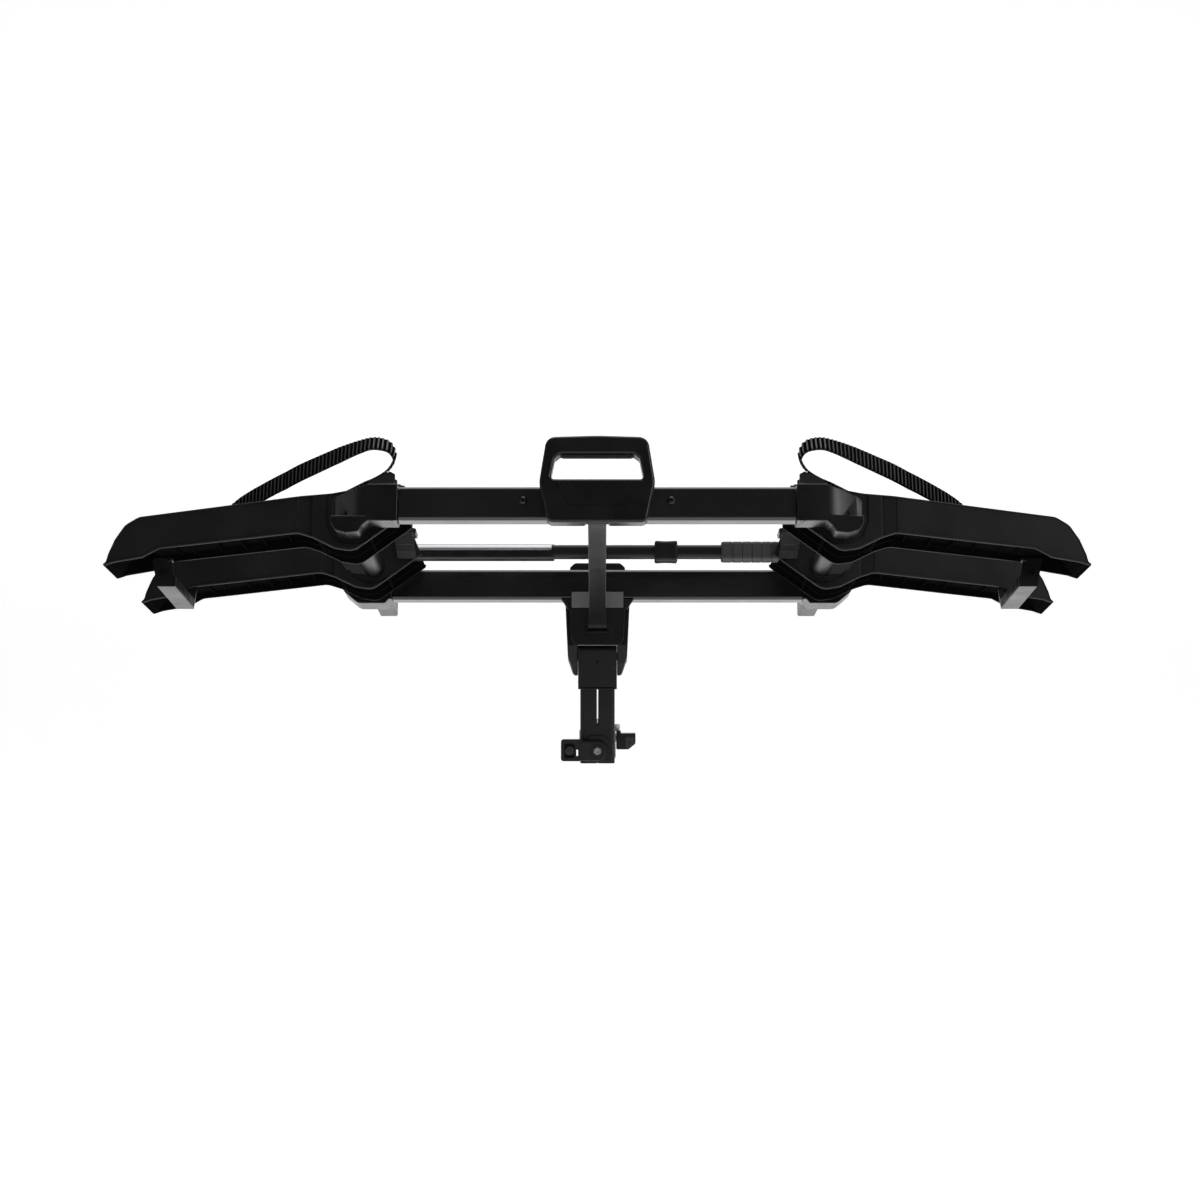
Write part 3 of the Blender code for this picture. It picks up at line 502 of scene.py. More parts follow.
def make_brackets():
    for label, side in SIDES.items():
        axle = (side * AXLE[0], AXLE[1])
        outline = fillet(((0.2603, 0.1050), (0.2990, 0.1050), (0.3060, 0.0990), (0.3110, 0.0905),
                          (0.3268, 0.0887), (0.3409, 0.0925), (0.3475, 0.1035), (0.3480, 0.1350),
                          (0.3440, 0.1410), (0.2990, 0.1545), (0.2603, 0.1545)),
                         (0.002, 0.003, 0.004, 0.004, 0.008, 0.006, 0.006, 0.006, 0.004, 0.003, 0.002))
        slant = ((0.2990, -0.46), (0.2990, -0.4322), (0.3180, -0.4270), (0.3400, -0.4120),
                 (0.37, -0.4060), (0.37, -0.46))
        notches = [block((side * a, side * (a + 0.0020)), (-0.4330, -0.4312), (0.1050, 0.1065))
                   for a in (0.2640, 0.2680, 0.2720)]
        body = solid([prism(sided(outline, side), "Y", -0.4320, -0.3905)],
                     [prism([(side * a, v) for a, v in slant], "Z", 0.1120, 0.17),
                      rod("Y", axle, AXLE_RADIUS + GAP, -0.4203, -0.37), *notches], 0.0014, 3)
        piece(f"rear_casting_{label}", [body], "platform", GLOSSY, [f"rear_bracket_{label}"])
        root = FRONT_BAR_HALF + 2 * GAP
        outline = fillet(((root, 0.0790), (0.3070, 0.0790), (0.3120, 0.0728), (0.3520, 0.0728),
                          (0.3745, 0.0920), (0.3720, 0.1450), (0.3520, 0.1500), (root, 0.1450)),
                         (0.001, 0.003, 0.003, 0.014, 0.010, 0.008, 0.010, 0.003))
        body = solid([prism(sided(outline, side), "Y", -0.0395, 0.0100)],
                     [rod("Y", axle, AXLE_RADIUS + GAP, -0.06, 0.03)], 0.0014, 3)
        piece(f"front_casting_{label}", [body], "platform", GLOSSY, [f"front_bracket_{label}"])
        turned = solid([lathe("Y", axle, ((-0.4200, 0.0130), (-0.4190, AXLE_RADIUS), (0.0087, AXLE_RADIUS),
                                          (0.0097, 0.0130)))], [rod("Y", axle, 0.011, -0.41, 0.03)])
        piece(f"axle_tube_{label}", [turned], "platform", SATIN, [f"wing_axle_{label}"])
        span = sorted((side * 0.3065, side * 0.3335))
        foot = solid([prism(rectangle(span, (0.0820, 0.1230), 0.003), "Y", 0.0103, 0.1120)],
                     [prism(rectangle((span[0] + 0.0025, span[1] - 0.0025), (0.0845, 0.1205), 0.001, 2),
                            "Y", 0.030, 0.13)], 0.0006)
        piece(f"rail_foot_tube_{label}", [foot], "platform", SATIN, [f"rail_foot_{label}"])


def make_housing():
    face = HOUSING_FACE
    visor = ((-0.046, 0.0885), (face - GAP, 0.0885), (face - GAP, 0.0660), (-0.0400, 0.0660))
    plate = fillet(((-0.0335, 0.0115), (0.0335, 0.0115), (0.0385, 0.0200), (0.0400, 0.0665),
                    (-0.0400, 0.0665), (-0.0385, 0.0200)), 0.002)
    slot = block((-0.0155, 0.0155), (face - 0.02, face + 0.01), (0.0310, 0.0395))
    front = trim(solid([prism(plate, "Y", face - 0.0045, face + 0.003)], [], 0.0008, 2), [slot])
    crown = solid([block((-0.0287, 0.0287), (face + 0.0031, 0.028), (0.0600, 0.0792))], [], 0.0010)
    ring = rectangle((-0.0182, 0.0182), (0.0278, 0.0408), 0.003)
    bezel = trim(solid([prism(ring, "Y", face - 0.0080, face - 0.0047)], [], 0.0007), [slot])
    piece("housing_shell", [front, crown], "platform", PLASTIC, ["hinge_housing"])
    piece("slot_bezel", [bezel], "platform", GLOSSY)
    # The visor below the front bar takes the light grey: a painted reflection of the floor on its downward
    # face.
    piece("housing_hood", [solid([prism(visor, "X", -0.038, 0.038)], [], 0.0006)], "platform",
          PAINTED_FLOOR_REFLECTION)
    outline = fillet(((-0.041, 0.0797), (0.041, 0.0797), (0.041, 0.1340), (0.034, 0.1410), (-0.034, 0.1410),
                      (-0.041, 0.1340)), (0, 0, 0.004, 0.008, 0.008, 0.004))
    near = FRONT_BAR[0] + BAR_DEPTH / 2 + GAP
    cover = solid([prism(outline, "Y", near, 0.0290)], [], 0.0022, 3)
    piece("cover_shell", [cover], "platform", PLASTIC, ["housing_cover"])
    for label, side in SIDES.items():
        outline = fillet(((-0.0290, 0.0790), (0.0200, 0.0790), (0.0240, 0.020), (0.0120, -0.0240),
                          (-0.004, -0.0300), (-0.0200, -0.0140), (-0.0290, 0.0120)),
                         (0.0, 0.0, 0.010, 0.008, 0.006, 0.008, 0.008))
        outside = ((0.0475, 0.0790), (0.0437, -0.003), (0.036, -0.026), (0.033, -0.030), (0.033, -0.05),
                   (0.06, -0.05), (0.06, 0.0790))
        cheek = solid([prism(outline, "X", *sorted((side * 0.0290, side * 0.0475)))],
                      [rod("X", (0, 0), 0.0063, -0.06, 0.06),
                       rod("X", (0, 0), 0.0101, *sorted((side * 0.0382, side * 0.06))),
                       prism(sided(outside, side), "Y", -0.04, 0.04)], 0.0012, 2)
        brace = ((0.0385, 0.0640), (0.0430, 0.0640), (0.0530, 0.0790), (0.0530, 0.0792), (0.0385, 0.0792))
        gusset = solid([prism(sided(brace, side), "Y", -0.0370, -0.0290)], [], 0.0006)
        piece(f"cheek_plate_{label}", [cheek, gusset], "platform", PLASTIC,
              [f"hinge_cheek_{label}"])


def make_handle():
    back = HANDLE_BACK
    front = back - 0.027
    outline = fillet(((-0.0640, 0.0984), (0.0640, 0.0984), (0.0755, 0.1518), (0.0660, 0.2126),
                      (0.0, 0.2146), (-0.0660, 0.2126), (-0.0755, 0.1518)),
                     (0.008, 0.008, 0.030, 0.014, 0.3, 0.014, 0.030), 8)
    window = fillet(((-0.0606, 0.1560), (0.0606, 0.1560), (0.0550, 0.1840), (0.0480, 0.1895),
                     (-0.0480, 0.1895), (-0.0550, 0.1840)), 0.004, 6)
    groove = 0.0008
    panel = ((-0.0550, 0.1528), (-0.0382, 0.1211), (0.0369, 0.1211), (0.0550, 0.1528))
    shell = solid([prism(outline, "Y", front, back)],
                  [prism(window, "Y", front - 0.01, back + 0.01),
                   block((-0.0475, 0.0475), (front + 0.005, back - 0.007), (0.1800, 0.2030)),
                   block((-0.0140, 0.0140), (front + 0.008, back + 0.01), (0.09, 0.1300))],
                  0.0038, 5, 50)
    lines = []
    for start, end in zip(panel, panel[1:]):
        start, end = Vector(start), Vector(end)
        off = (end - start).orthogonal().normalized() * groove / 2
        corners = [tuple(corner) for corner in (start - off, end - off, end + off, start + off)]
        lines.append(prism(corners, "Y", front - 0.01, front + 0.0006))
    piece("handle_grip", [trim(shell, lines)], "platform", GLOSSY, ["handle"])
    trigger = solid([block((-0.0465, 0.0465), (front + 0.006, back - 0.008), (0.1868, 0.1970))], [],
                    0.0024, 4)
    piece("trigger_bar", [trigger], "release_trigger", PLASTIC, ["release_trigger"])
    for label, side in SIDES.items():
        centre = (side * 0.0970, 0.1335)
        dome = ((back, 0.0055), (back - 0.0009, 0.0055), (back - 0.0022, 0.0046), (back - 0.0031, 0.0030),
                (back - 0.0033, 0.0022))
        head = solid([lathe("Y", centre, dome)], [rod("Y", centre, 0.0017, back - 0.01, back - 0.0015, 6)])
        piece(f"button_bolt_{label}", [head], "platform", GLOSSY, [f"bar_bolt_{label}"])


def make_release():
    line = smooth_path(((-0.4330, 0.1180), (-0.4290, 0.1070), (-0.4150, 0.1015), (-0.3300, 0.0895),
                        (-0.1800, 0.0670), (-0.0900, 0.0525), (-0.0520, 0.0430), (-0.0400, 0.0363),
                        (-0.0345, 0.0352), (-0.0280, 0.0350)), 6)
    rings = []
    for index, point in enumerate(line):
        ahead = line[min(index + 1, len(line) - 1)] - line[max(index - 1, 0)]
        across = Vector((-ahead[1], ahead[0])).normalized() * 0.0020
        over, under = point + across, point - across
        flare = 0.0022 * max(0.0, min(1.0, (point[0] + 0.075) / 0.035))
        half = 0.0120 + (flare if point[0] < -0.0385 else 0.0)
        rings.append([(-half, *under), (half, *under), (half, *over), (-half, *over)])
    strap = solid([skin(rings)], [], 0.0008, 2, 50)
    piece("release_bar", [strap], "release_link", SATIN, ["release_strap"])
    frame["nodes"]["latch_pawl"].data.materials[0] = ZINC


# Wings

TRAY_HALF = 0.043
WALL = 0.003
TRAY_TOP = ((0.269, 0.167, 0.002), (0.310, 0.1605, 0.03), (0.352, 0.1525, 0.05), (0.393, 0.149, 0.03),
            (0.606, 0.1205, 0.02), (0.6234, 0.1097, 0.02), (0.6361, 0.0903, 0.03), (0.6440, 0.0708, 0.02),
            (0.6465, 0.0610, 0.004), (0.650, 0.057, 0.001))
TRAY_BOTTOM = ((0.637, 0.0615, 0.01), (0.600, 0.068, 0.010), (0.578, 0.080, 0.012), (0.525, 0.086, 0.05),
               (0.3955, 0.101, 0.03), (0.375, 0.0945, 0.025), (0.3455, 0.080, 0.02), (0.322, 0.0764, 0.02),
               (0.2895, 0.100, 0.012), (0.253, 0.127, 0.003))
FLOOR = 0.368


def make_tray(row, label, side):
    middle = ROWS[row]
    near, far = middle - TRAY_HALF, middle + TRAY_HALF
    inside, outside = near + WALL, far - WALL
    marks = TRAY_TOP + TRAY_BOTTOM
    corners = corners_of([mark[:2] for mark in marks], [mark[2] for mark in marks], 7)
    outline = [point for corner in corners for point in corner]
    edge = [point for corner in corners[len(TRAY_TOP) - 1:] for point in corner]
    rim = [point for corner in corners[:len(TRAY_TOP)] for point in corner]
    trough = ((FLOOR, 0.22), (FLOOR, 0.1235), (0.393, 0.1190), (0.590, 0.0885), (0.604, 0.0950),
              (0.612, 0.115), (0.612, 0.22))
    hollow = ((FLOOR + 0.004, 0.05), (FLOOR + 0.004, 0.1205), (0.393, 0.1160), (0.590, 0.0855),
              (0.603, 0.0905), (0.620, 0.0890), (0.641, 0.062), (0.648, 0.04))
    over_axle = ((0.245, 0.05), (0.245, 0.22), (FLOOR + 0.002, 0.22), (FLOOR + 0.002, 0.1235),
                 (FLOOR - 0.002, 0.1235), (FLOOR - 0.002, 0.05))
    bore = rod("Y", (side * AXLE[0], AXLE[1]), AXLE_RADIUS + GAP, near - 0.01, far + 0.01)
    room = block((side * 0.2645, side * 0.2845), (near - 0.01, inside + 0.002), (0.1260, 0.1520))
    cuts = [prism(sided(shape, side), "Y", inside, outside) for shape in (trough, hollow, over_axle)]
    strip = ((0.3770, near - 0.01), (0.3965, near - 0.01), (0.3965, near + 0.0004), (0.3770, near + 0.0022))
    pilaster = prism([(side * a, v) for a, v in strip], "Z", 0.06, 0.20)
    parts = [solid([prism(sided(outline, side), "Y", near, far)], [*cuts, bore, room, pilaster], 0.0008, 2)]
    for v in (near + WALL / 2 - 0.0006, far - WALL / 2 + 0.0006):
        parts.append(solid([bead(edge, 0.0052, 0.0034, side, v)]))
        parts.append(solid([bead(rim[3:-1], 0.0042, 0.0024, side, v)]))
    nose = [(side * 0.6495, near + 0.001, 0.0575), (side * 0.6495, far - 0.001, 0.0575)]
    parts.append(solid([tube(nose, (0.0019, 0.0019))]))
    # Rear face: the skin swells round the pivot, with a pocket for the pivot's casting.
    pocket = fillet(((0.2600, 0.1300), (0.2900, 0.1060), (0.3000, 0.0930), (0.3120, 0.0845),
                     (0.3330, 0.0845), (0.3500, 0.0930), (0.3586, 0.1150), (0.3586, 0.1900),
                     (0.2600, 0.1900)),
                    (0.0, 0.004, 0.006, 0.010, 0.012, 0.012, 0.012, 0.0, 0.0))
    swell = solid([prism(sided(outline, side), "Y", near - 0.0026, near + 0.0006)],
                  [prism(sided(pocket, side), "Y", near - 0.02, near + 0.02),
                   block((side * 0.3768, side * 0.70), (near - 0.02, near + 0.02), (0.0, 0.25)),
                   block((side * 0.20, side * 0.2930), (near - 0.02, near + 0.02), (0.0, 0.25))], 0.0007)
    parts.append(swell)
    # Middle web and cross ribs under the pivot.
    web_line = [point for point in outline if point[0] < 0.3950]
    opening = ((0.20, 0.30), (0.20, 0.1440), (0.262, 0.1320), (0.3000, 0.1180), (0.3200, 0.0925),
               (0.345, 0.0965), (0.372, 0.1150), (0.40, 0.1180), (0.45, 0.30))
    parts.append(solid([prism(sided(web_line, side), "Y", middle - 0.0012, middle + 0.0012)],
                       [prism(sided(opening, side), "Y", middle - 0.01, middle + 0.01), bore], 0.0005))
    low_edge = [point for point in edge if point[0] < 0.3950]
    parts.append(solid([bead(low_edge, 0.0036, 0.0030, side, middle)]))
    for a, low, high in ((0.2985, 0.0930, 0.1120), (0.3620, 0.0905, 0.1120)):
        rib = ((a, low), (a + 0.0022, low - 0.0014), (a + 0.0022, high), (a, high))
        parts.append(solid([prism(sided(rib, side), "Y", inside - 0.001, outside + 0.001)]))
    # Ribs under the floor, some of them slanted.
    for a, low, lean in ((0.410, 0.1060, 0.004), (0.447, 0.1000, 0.0), (0.480, 0.0960, -0.006),
                         (0.507, 0.0930, 0.0), (0.537, 0.0900, 0.007), (0.566, 0.0870, -0.007)):
        top = 0.1190 - (a - 0.393) * 0.155 - 0.0010
        ends = ((a, inside - 0.001), (a + 0.002, inside - 0.001), (a + 0.002 + lean, outside + 0.001),
                (a + lean, outside + 0.001))
        parts.append(solid([prism([(side * x, v) for x, v in ends], "Z", low, top)]))
    floor_lines = []
    for v in (middle - 0.030, middle - 0.018, middle + 0.030):
        path = [(0.3720, 0.1236), (0.393, 0.1193), (0.590, 0.0888), (0.6035, 0.0950)]
        floor_lines.append(solid([bead(path, 0.0022, 0.0018, side, v, 8)]))
    seat = ((0.2590, 0.1300), (0.2680, 0.1540), (0.3080, 0.1540), (0.3020, 0.1300))
    parts.append(solid([prism(sided(seat, side), "Y", middle - 0.003, outside + 0.001)], [], 0.0010))
    if row == "front":
        boss = fillet(((0.3180, 0.0960), (0.3560, 0.0985), (0.3660, 0.1120), (0.3560, 0.1240),
                       (0.3100, 0.1240), (0.3040, 0.1080)), 0.004)
        slope = prism([(near - 0.03, 0.08), (near - 0.03, 0.1165), (near - 0.0085, 0.1165),
                       (near + 0.001, 0.0950), (near + 0.001, 0.08)], "X", -0.5, 0.5)
        parts.append(solid([prism(sided(boss, side), "Y", near - 0.0080, near + 0.0005)],
                           [slope, bore], 0.0008))
    tray = piece(f"tray_shell_{row}_{label}", parts + floor_lines, f"wing_{label}", PLASTIC,
                 [f"tray_{row}_{label}"])
    # The inner faces of the walls take the darker glossless plastic: painted shade inside the tray.
    coat_where(tray, PAINTED_SHADE_MATTE, lambda centre: inside - 0.0002 < centre.y < outside + 0.0002)


STRAP_LOOP = ((0.552, 0.0985), (0.536, 0.1050), (0.518, 0.1190), (0.498, 0.1370), (0.480, 0.1510),
              (0.4628, 0.1622), (0.4295, 0.1812), (0.4019, 0.1940), (0.3742, 0.2046), (0.3465, 0.2149),
              (0.3191, 0.2240), (0.3000, 0.2280), (0.2814, 0.2248), (0.2737, 0.2151), (0.2756, 0.2076),
              (0.2819, 0.1995), (0.2919, 0.1920), (0.3050, 0.1845), (0.3220, 0.1755), (0.3520, 0.1600),
              (0.385, 0.144), (0.415, 0.128))
STRAP_SHIFT = 0.014
STRAP_SHIFT_SLOPE = 0.78
STRAP_RISE_FROM = 0.1856
STRAP_LEANS = {"out": ((0.100, 0), (0.148, 82), (0.194, 80), (0.215, 70), (0.228, 52)),
               "back": ((0.180, 0), (0.228, 52))}


def lean_at(w, points):
    """Lean of the strap at a height, read between (height, degrees) points."""
    for (low, first), (high, last) in zip(points, points[1:]):
        if w <= high:
            return radians(first + (last - first) * max(w - low, 0.0) / (high - low))
    return radians(points[-1][1])


def make_strap(row, label, side):
    """Ladder strap: rungs across its outer face, smooth inside."""
    centre = ROWS[row] + STRAP_SHIFT
    line = smooth_path(STRAP_LOOP, 12)
    lengths = [0.0]
    for start, end in zip(line, line[1:]):
        lengths.append(lengths[-1] + (end - start).length)
    total = lengths[-1]

    def at(s):
        index = 0
        while index < len(lengths) - 2 and lengths[index + 1] < s:
            index += 1
        t = (s - lengths[index]) / (lengths[index + 1] - lengths[index])
        return line[index].lerp(line[index + 1], min(max(t, 0.0), 1.0))

    peak = lengths[max(range(len(line)), key=lambda index: line[index][1])]
    pitch, rung, slope = 0.0056, 0.0028, 0.0005
    marks = [(0.0, 0.0)]
    s = 0.006
    while s < total - 0.012:
        marks += [(s, 0.0), (s + slope, 1.0), (s + rung - slope, 1.0), (s + rung, 0.0)]
        s += pitch
    marks.append((total, 0.0))
    rings = []
    for s, high in marks:
        a, w = at(s)
        ahead = at(min(s + 0.002, total)) - at(max(s - 0.002, 0.0))
        rise = max(w - STRAP_RISE_FROM, 0.0)
        turn = lean_at(w, STRAP_LEANS["out" if s < peak else "back"])
        across = Vector((0.0, cos(turn), sin(turn)))
        here = Vector((side * a, centre - rise * STRAP_SHIFT_SLOPE, w))
        tangent = Vector((side * ahead[0], -ahead[1] * STRAP_SHIFT_SLOPE * (rise > 0), ahead[1]))
        normal = tangent.cross(across).normalized() * -side
        half, thick = 0.0130, 0.0009
        crest = thick + 0.0020 * high
        inset = half - 0.0012 * high
        section = ((-half, -thick), (half, -thick), (half, thick * 0.6), (inset, crest), (-inset, crest),
                   (-half, thick * 0.6))
        rings.append([here + across * x + normal * y for x, y in section])
    band = skin(rings)
    band.transform(PLATFORM)
    strap = piece(f"ladder_strap_{row}_{label}", [band], f"wing_{label}", RUBBER,
                  [f"wheel_strap_{row}_{label}"], 30)
    # The groove floors between the rungs take the darker glossless plastic: painted shade in the grooves.
    strap.data.materials.append(PAINTED_SHADE_MATTE)
    for face in strap.data.polygons:
        ring, corner = divmod(face.index - 2, 6)
        if ring >= 0 and corner > 2 and marks[ring][1] + marks[ring + 1][1] < 2:
            face.material_index = 1


def make_buckle(row, label, side):
    middle = ROWS[row]
    lever = fillet(((0.2640, 0.1665), (0.2650, 0.1725), (0.2700, 0.1755), (0.2960, 0.1722), (0.3060, 0.1690),
                    (0.3060, 0.1645), (0.2850, 0.1655)), 0.0014)
    centre = middle + STRAP_SHIFT
    half = 0.0175
    plate = solid([prism(sided(lever, side), "Y", centre - half, centre + half)], [], 0.0008)
    curl = solid([rod("Y", (side * 0.2672, 0.1712), 0.0034, centre - half, centre + half, 24)], [], 0.0006)
    flank = fillet(((0.2720, 0.1700), (0.3060, 0.1640), (0.3080, 0.1790), (0.2790, 0.1940),
                    (0.2720, 0.1900)), 0.002)
    cheeks = [solid([prism(sided(flank, side), "Y", v, v + 0.0014)], [], 0.0004)
              for v in (centre - half - 0.0002, centre + half - 0.0012)]
    body = f"buckle_lever_{row}_{label}"
    piece(f"buckle_{row}_{label}", [plate, curl, *cheeks], body, PAD, [body])
    near = middle - TRAY_HALF
    cap = fillet(((0.2590, 0.1195), (0.2860, 0.1195), (0.2920, 0.1575), (0.2650, 0.1575)), 0.003)
    grooves = [block((side * 0.2640, side * 0.2850), (near - 0.0085, near - 0.0064), (w, w + 0.0006))
               for w in (0.1400, 0.1430, 0.1460, 0.1490)]
    bevelled = prism([(near - 0.02, 0.11), (near - 0.02, 0.1290), (near - 0.0070, 0.1290),
                      (near - 0.0050, 0.1185), (near - 0.0050, 0.11)], "X", -0.5, 0.5)
    pad = solid([prism(sided(cap, side), "Y", near - 0.0072, near - 0.0046)], [bevelled, *grooves], 0.0005)
    stem = solid([block((side * 0.2655, side * 0.2835), (near - 0.0048, near + 0.0015), (0.1270, 0.1510))],
                 [], 0.0005)
    body = f"strap_button_{row}_{label}"
    piece(f"button_pad_{row}_{label}", [pad, stem], body, PAD, [body])


def make_link(label, side):
    plate = 0.0035
    rear, front = -0.322, -0.1252
    feet = ((rear, 0.5665, 0.5905, 0.0400), (front, 0.5770, 0.6015, 0.0480))

    def run(v):
        """Inner edge, outer edge and height of the channel at v."""
        share = (v - rear) / (front + plate - rear)
        return [start + (end - start) * share for start, end in zip(feet[0][1:], feet[1][1:])]

    def sweep(width, height):
        rings = []
        for v in (rear + 0.0005, front + plate):
            low, high, foot = run(v)
            high = low + width if width else high
            rings.append([(side * a, v, w) for a, w in ((low, foot), (high, foot), (high, foot + height),
                                                        (low, foot + height))])
        return skin(rings)

    def tab(v, low, high, foot):
        outline = fillet(((low, foot), (high, foot), (0.5995, 0.0790), (0.5730, 0.0790)),
                         (0.0, 0.002, 0.004, 0.004))
        return prism(sided(outline, side), "Y", v, v + plate)

    hole = rod("Y", (side * 0.583, 0.0620), 0.0060, rear - 0.01, rear + 0.0030)
    body = solid([*(tab(*foot) for foot in feet), sweep(None, plate), sweep(plate, 0.0140)], [], 0.0006,
                 clamp=True)
    body = trim(body, [hole])
    ribs = []
    for index in range(14):
        v = rear + 0.012 + 0.0135 * index
        low, high, foot = run(v)
        ribs.append(solid([block((side * (low - 0.0012), side * (low + 0.001)), (v, v + 0.0030),
                                 (foot + 0.002, foot + 0.013))]))
    core = (side * 0.5750, 0.0775)
    profile = ((rear - 0.0008, 0.0026), (rear, 0.0034), (rear + 0.012, 0.0034), (rear + 0.013, 0.0026))
    knuckle = solid([lathe("Y", core, profile, 24)],
                    [rod("Y", core, 0.0014, rear - 0.01, rear + 0.02, 16)])
    piece(f"link_channel_{label}", [body, *ribs, knuckle], f"wing_{label}", SATIN,
          [f"wing_link_{label}"])


# Arms

ARM_W = 0.1345


def superellipse(v, w, half_v, half_w, power=4.0, count=40):
    ring = []
    for index in range(count):
        turn = 2 * pi * (index + 0.5) / count
        c, s = cos(turn), sin(turn)
        ring.append((v + half_v * abs(c) ** (2 / power) * (1 if c >= 0 else -1),
                     w + half_w * abs(s) ** (2 / power) * (1 if s >= 0 else -1)))
    return ring


def make_arm(row, side):
    v = ROWS[row] - 0.0215
    axle = (side * AXLE[0], AXLE[1])
    neck = fillet(((0.3330, 0.1200), (0.3230, 0.1480), (0.2830, 0.1480), (0.2830, 0.1210), (0.2980, 0.1210),
                   (0.3070, 0.1000)), (0.006, 0.010, 0.002, 0.002, 0.006, 0.004))
    yoke = solid([prism(sided(neck, side), "Y", v - 0.0130, v + 0.0130),
                  rod("Y", axle, 0.0185, v - 0.0120, v + 0.0120)],
                 [rod("Y", axle, AXLE_RADIUS + GAP, v - 0.02, v + 0.02)], 0.0012, 3)
    piece(f"arm_knuckle_{row}", [yoke], f"arm_{row}", SATIN, [f"arm_yoke_{row}"])
    ends = (0.2827, 0.0624)
    section = [point if point[1] > ARM_W else low for point, low in
               zip(superellipse(v, ARM_W, 0.0115, 0.0115, 2.3), superellipse(v, ARM_W, 0.0115, 0.0115, 9.0))]
    groove = block((side * 0.07, side * 0.30), (v - 0.02, v - 0.0098), (ARM_W + 0.0004, ARM_W + 0.0014))
    mouth = prism(sided(fillet(((0.0500, ARM_W - 0.0095), (0.0660, ARM_W - 0.0095), (0.0660, ARM_W + 0.0095),
                                (0.0500, ARM_W + 0.0095)), (0.0, 0.004, 0.004, 0.0)), side), "Y",
                  v - 0.03, v - 0.0050)
    body = solid([prism(section, "X", *sorted(side * a for a in ends))],
                 [rod("X", (v, ARM_W), 0.0102, *sorted((side * 0.2727, side * 0.0500))), groove, mouth],
                 0.0004, 1)
    sleeve = piece(f"arm_sleeve_{row}", [body], f"arm_{row}", SILVER, [f"arm_tube_{row}"])
    coat_where(sleeve, DARK_ZINC, lambda centre: centre.z < ARM_W - 0.0005)
    inner = sorted((side * 0.1224, side * -0.2600))
    stem = solid([prism(superellipse(v, ARM_W, 0.0098, 0.0098, 3.2), "X", *inner)], [], 0.0006)
    start, end = -0.115, -0.0825
    rings = []
    for t, grow in ((0.0, -0.0016), (0.03, -0.0006), (0.08, 0.0), (0.3, -0.0005), (0.5, -0.0007),
                    (0.7, -0.0005), (0.92, 0.0), (0.97, -0.0006), (1.0, -0.0016)):
        x = side * (start + (end - start) * t)
        rings.append([(x, *point) for point in superellipse(v, ARM_W, 0.0135 + grow, 0.0150 + grow, 7.0, 56)])
    hollow = superellipse(v, ARM_W, 0.0101, 0.0101, 3.2)
    collar = solid([skin(rings)], [prism(hollow, "X", *sorted((start * side - 0.02, end * side + 0.02)))])
    piece(f"arm_stem_{row}", [stem, collar], f"arm_{row}_inner", SATIN, [f"arm_inner_{row}"])
    rings = []
    start, end = -0.262, -0.1785
    marks = [(start, 0.0020), (start + 0.0012, 0.0006), (start + 0.003, 0.0)]
    s = start + 0.0115
    while s < end - 0.006:
        marks += [(s - 0.0008, 0.0), (s - 0.0004, 0.0009), (s + 0.0004, 0.0009), (s + 0.0008, 0.0)]
        s += 0.0140
    marks += [(end - 0.003, 0.0), (end - 0.0012, 0.0004), (end, 0.0014)]
    for x, shrink in marks:
        radius = 0.0138 - shrink
        rings.append([(side * x, *point) for point in superellipse(v, ARM_W, radius, radius, 6.0)])
    ends = sorted((side * (start + 0.0022), side * (end + 0.01)))
    grip = solid([skin(rings)], [prism(hollow, "X", *ends)])
    piece(f"arm_handgrip_{row}", [grip], f"arm_{row}_inner", RUBBER, [f"arm_grip_{row}"], 30)


# Stage


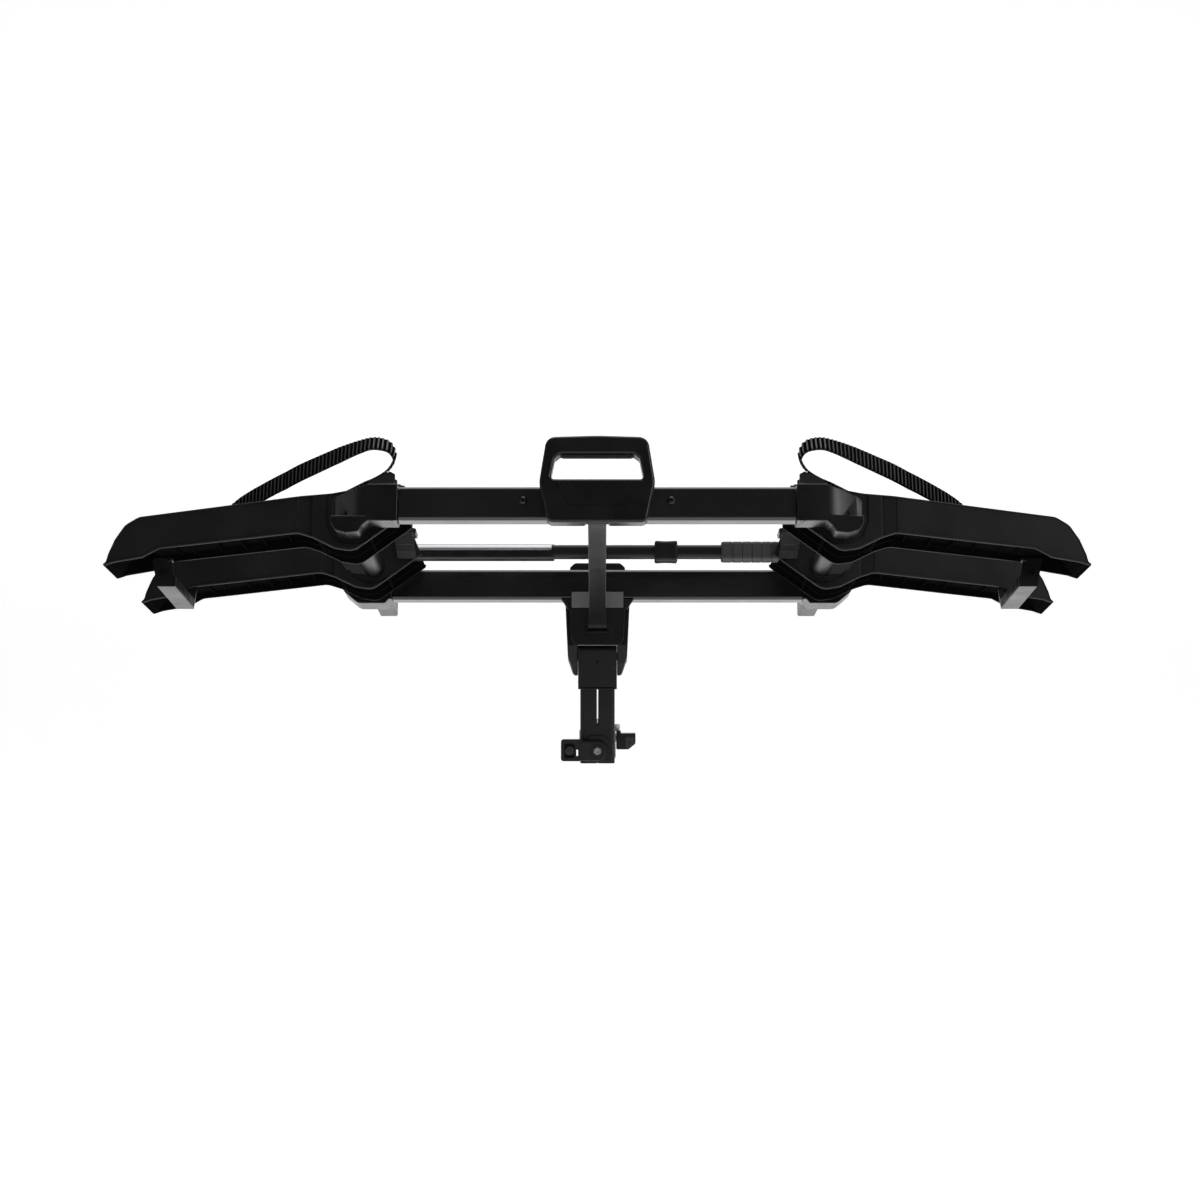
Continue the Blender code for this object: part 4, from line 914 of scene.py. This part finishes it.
def make_stage():
    """Seamless white floor and backdrop, soft lights and the camera."""
    paper = bpy.data.materials.new("paper")
    paper.use_nodes = True
    nodes, links = paper.node_tree.nodes, paper.node_tree.links
    shader = nodes["Principled BSDF"]
    shader.inputs["Roughness"].default_value = 0.8
    shader.inputs["Emission Strength"].default_value = 0.62
    shader.inputs["Emission Color"].default_value = (1, 1, 1, 1)
    fibre = nodes.new("ShaderNodeTexNoise")
    fibre.inputs["Scale"].default_value = 120
    tone = nodes.new("ShaderNodeMix")
    tone.data_type = "RGBA"
    tone.inputs["A"].default_value = (0.86, 0.86, 0.86, 1)
    tone.inputs["B"].default_value = (0.90, 0.90, 0.90, 1)
    links.new(fibre.outputs["Fac"], tone.inputs["Factor"])
    links.new(tone.outputs["Result"], shader.inputs["Base Color"])
    floor_z, wall_y, sweep_radius, half = -0.55, 5.0, 1.6, 9.0
    profile = [(-9.0, floor_z), (-4.0, floor_z), (0.0, floor_z), (wall_y - sweep_radius, floor_z)]
    for step in range(1, 13):
        turn = pi / 2 * step / 12
        profile.append((wall_y - sweep_radius + sweep_radius * sin(turn),
                        floor_z + sweep_radius - sweep_radius * cos(turn)))
    profile.append((wall_y, 7.0))
    shape = bmesh.new()
    left = [shape.verts.new((-half, y, z)) for y, z in profile]
    right = [shape.verts.new((half, y, z)) for y, z in profile]
    for index in range(len(profile) - 1):
        shape.faces.new((left[index], right[index], right[index + 1], left[index + 1]))
    mesh = bpy.data.meshes.new("backdrop")
    shape.to_mesh(mesh)
    shape.free()
    mesh.shade_smooth()
    mesh.materials.append(paper)
    link(bpy.data.objects.new("backdrop", mesh))

    def lamp(name, place, target, size, power, spread=180):
        light = bpy.data.lights.new(name, "AREA")
        light.shape = "RECTANGLE"
        light.size, light.size_y = size
        light.energy = power
        light.spread = radians(spread)
        item = link(bpy.data.objects.new(name, light))
        item.location = place
        item.rotation_euler = (Vector(target) - Vector(place)).to_track_quat("-Z", "Y").to_euler()

    lamp("overhead", (0.2, -0.2, 2.6), (0, -0.2, 0), (3.0, 2.0), 50)
    lamp("key_right", (2.6, -2.6, 1.5), (0, -0.3, 0.15), (1.4, 1.4), 34)
    lamp("fill_left", (-2.8, -1.8, 1.1), (0, -0.3, 0.15), (1.2, 1.2), 4)

    world = bpy.data.worlds.new("room")
    world.use_nodes = True
    world.node_tree.nodes["Background"].inputs["Color"].default_value = (1, 1, 1, 1)
    world.node_tree.nodes["Background"].inputs["Strength"].default_value = 0.08
    bpy.context.scene.world = world
    bpy.context.scene.view_settings.view_transform = "Standard"

    lens = bpy.data.cameras.new("camera")
    lens.sensor_width = 36.0
    lens.lens = 67.59
    lens.clip_end = 60.0
    camera = link(bpy.data.objects.new("camera", lens))
    camera.location = (0.0037, -3.592, 0.2146)
    camera.rotation_euler = (pi / 2, 0, 0)
    bpy.context.scene.camera = camera


def build_rack():
    make_hitch()
    make_tilt_bolt()
    make_lever()
    make_pin()
    make_bars()
    make_brackets()
    make_housing()
    make_handle()
    make_release()
    for label, side in SIDES.items():
        make_link(label, side)
        for row in ROWS:
            make_tray(row, label, side)
            make_strap(row, label, side)
            make_buckle(row, label, side)
    make_arm("front", SIDES["left"])
    make_arm("rear", SIDES["right"])
    for node in ("wobble_wedge", "wobble_shoe"):
        frame["nodes"][node].data.materials[0] = ZINC


make_stage()
build_rack()
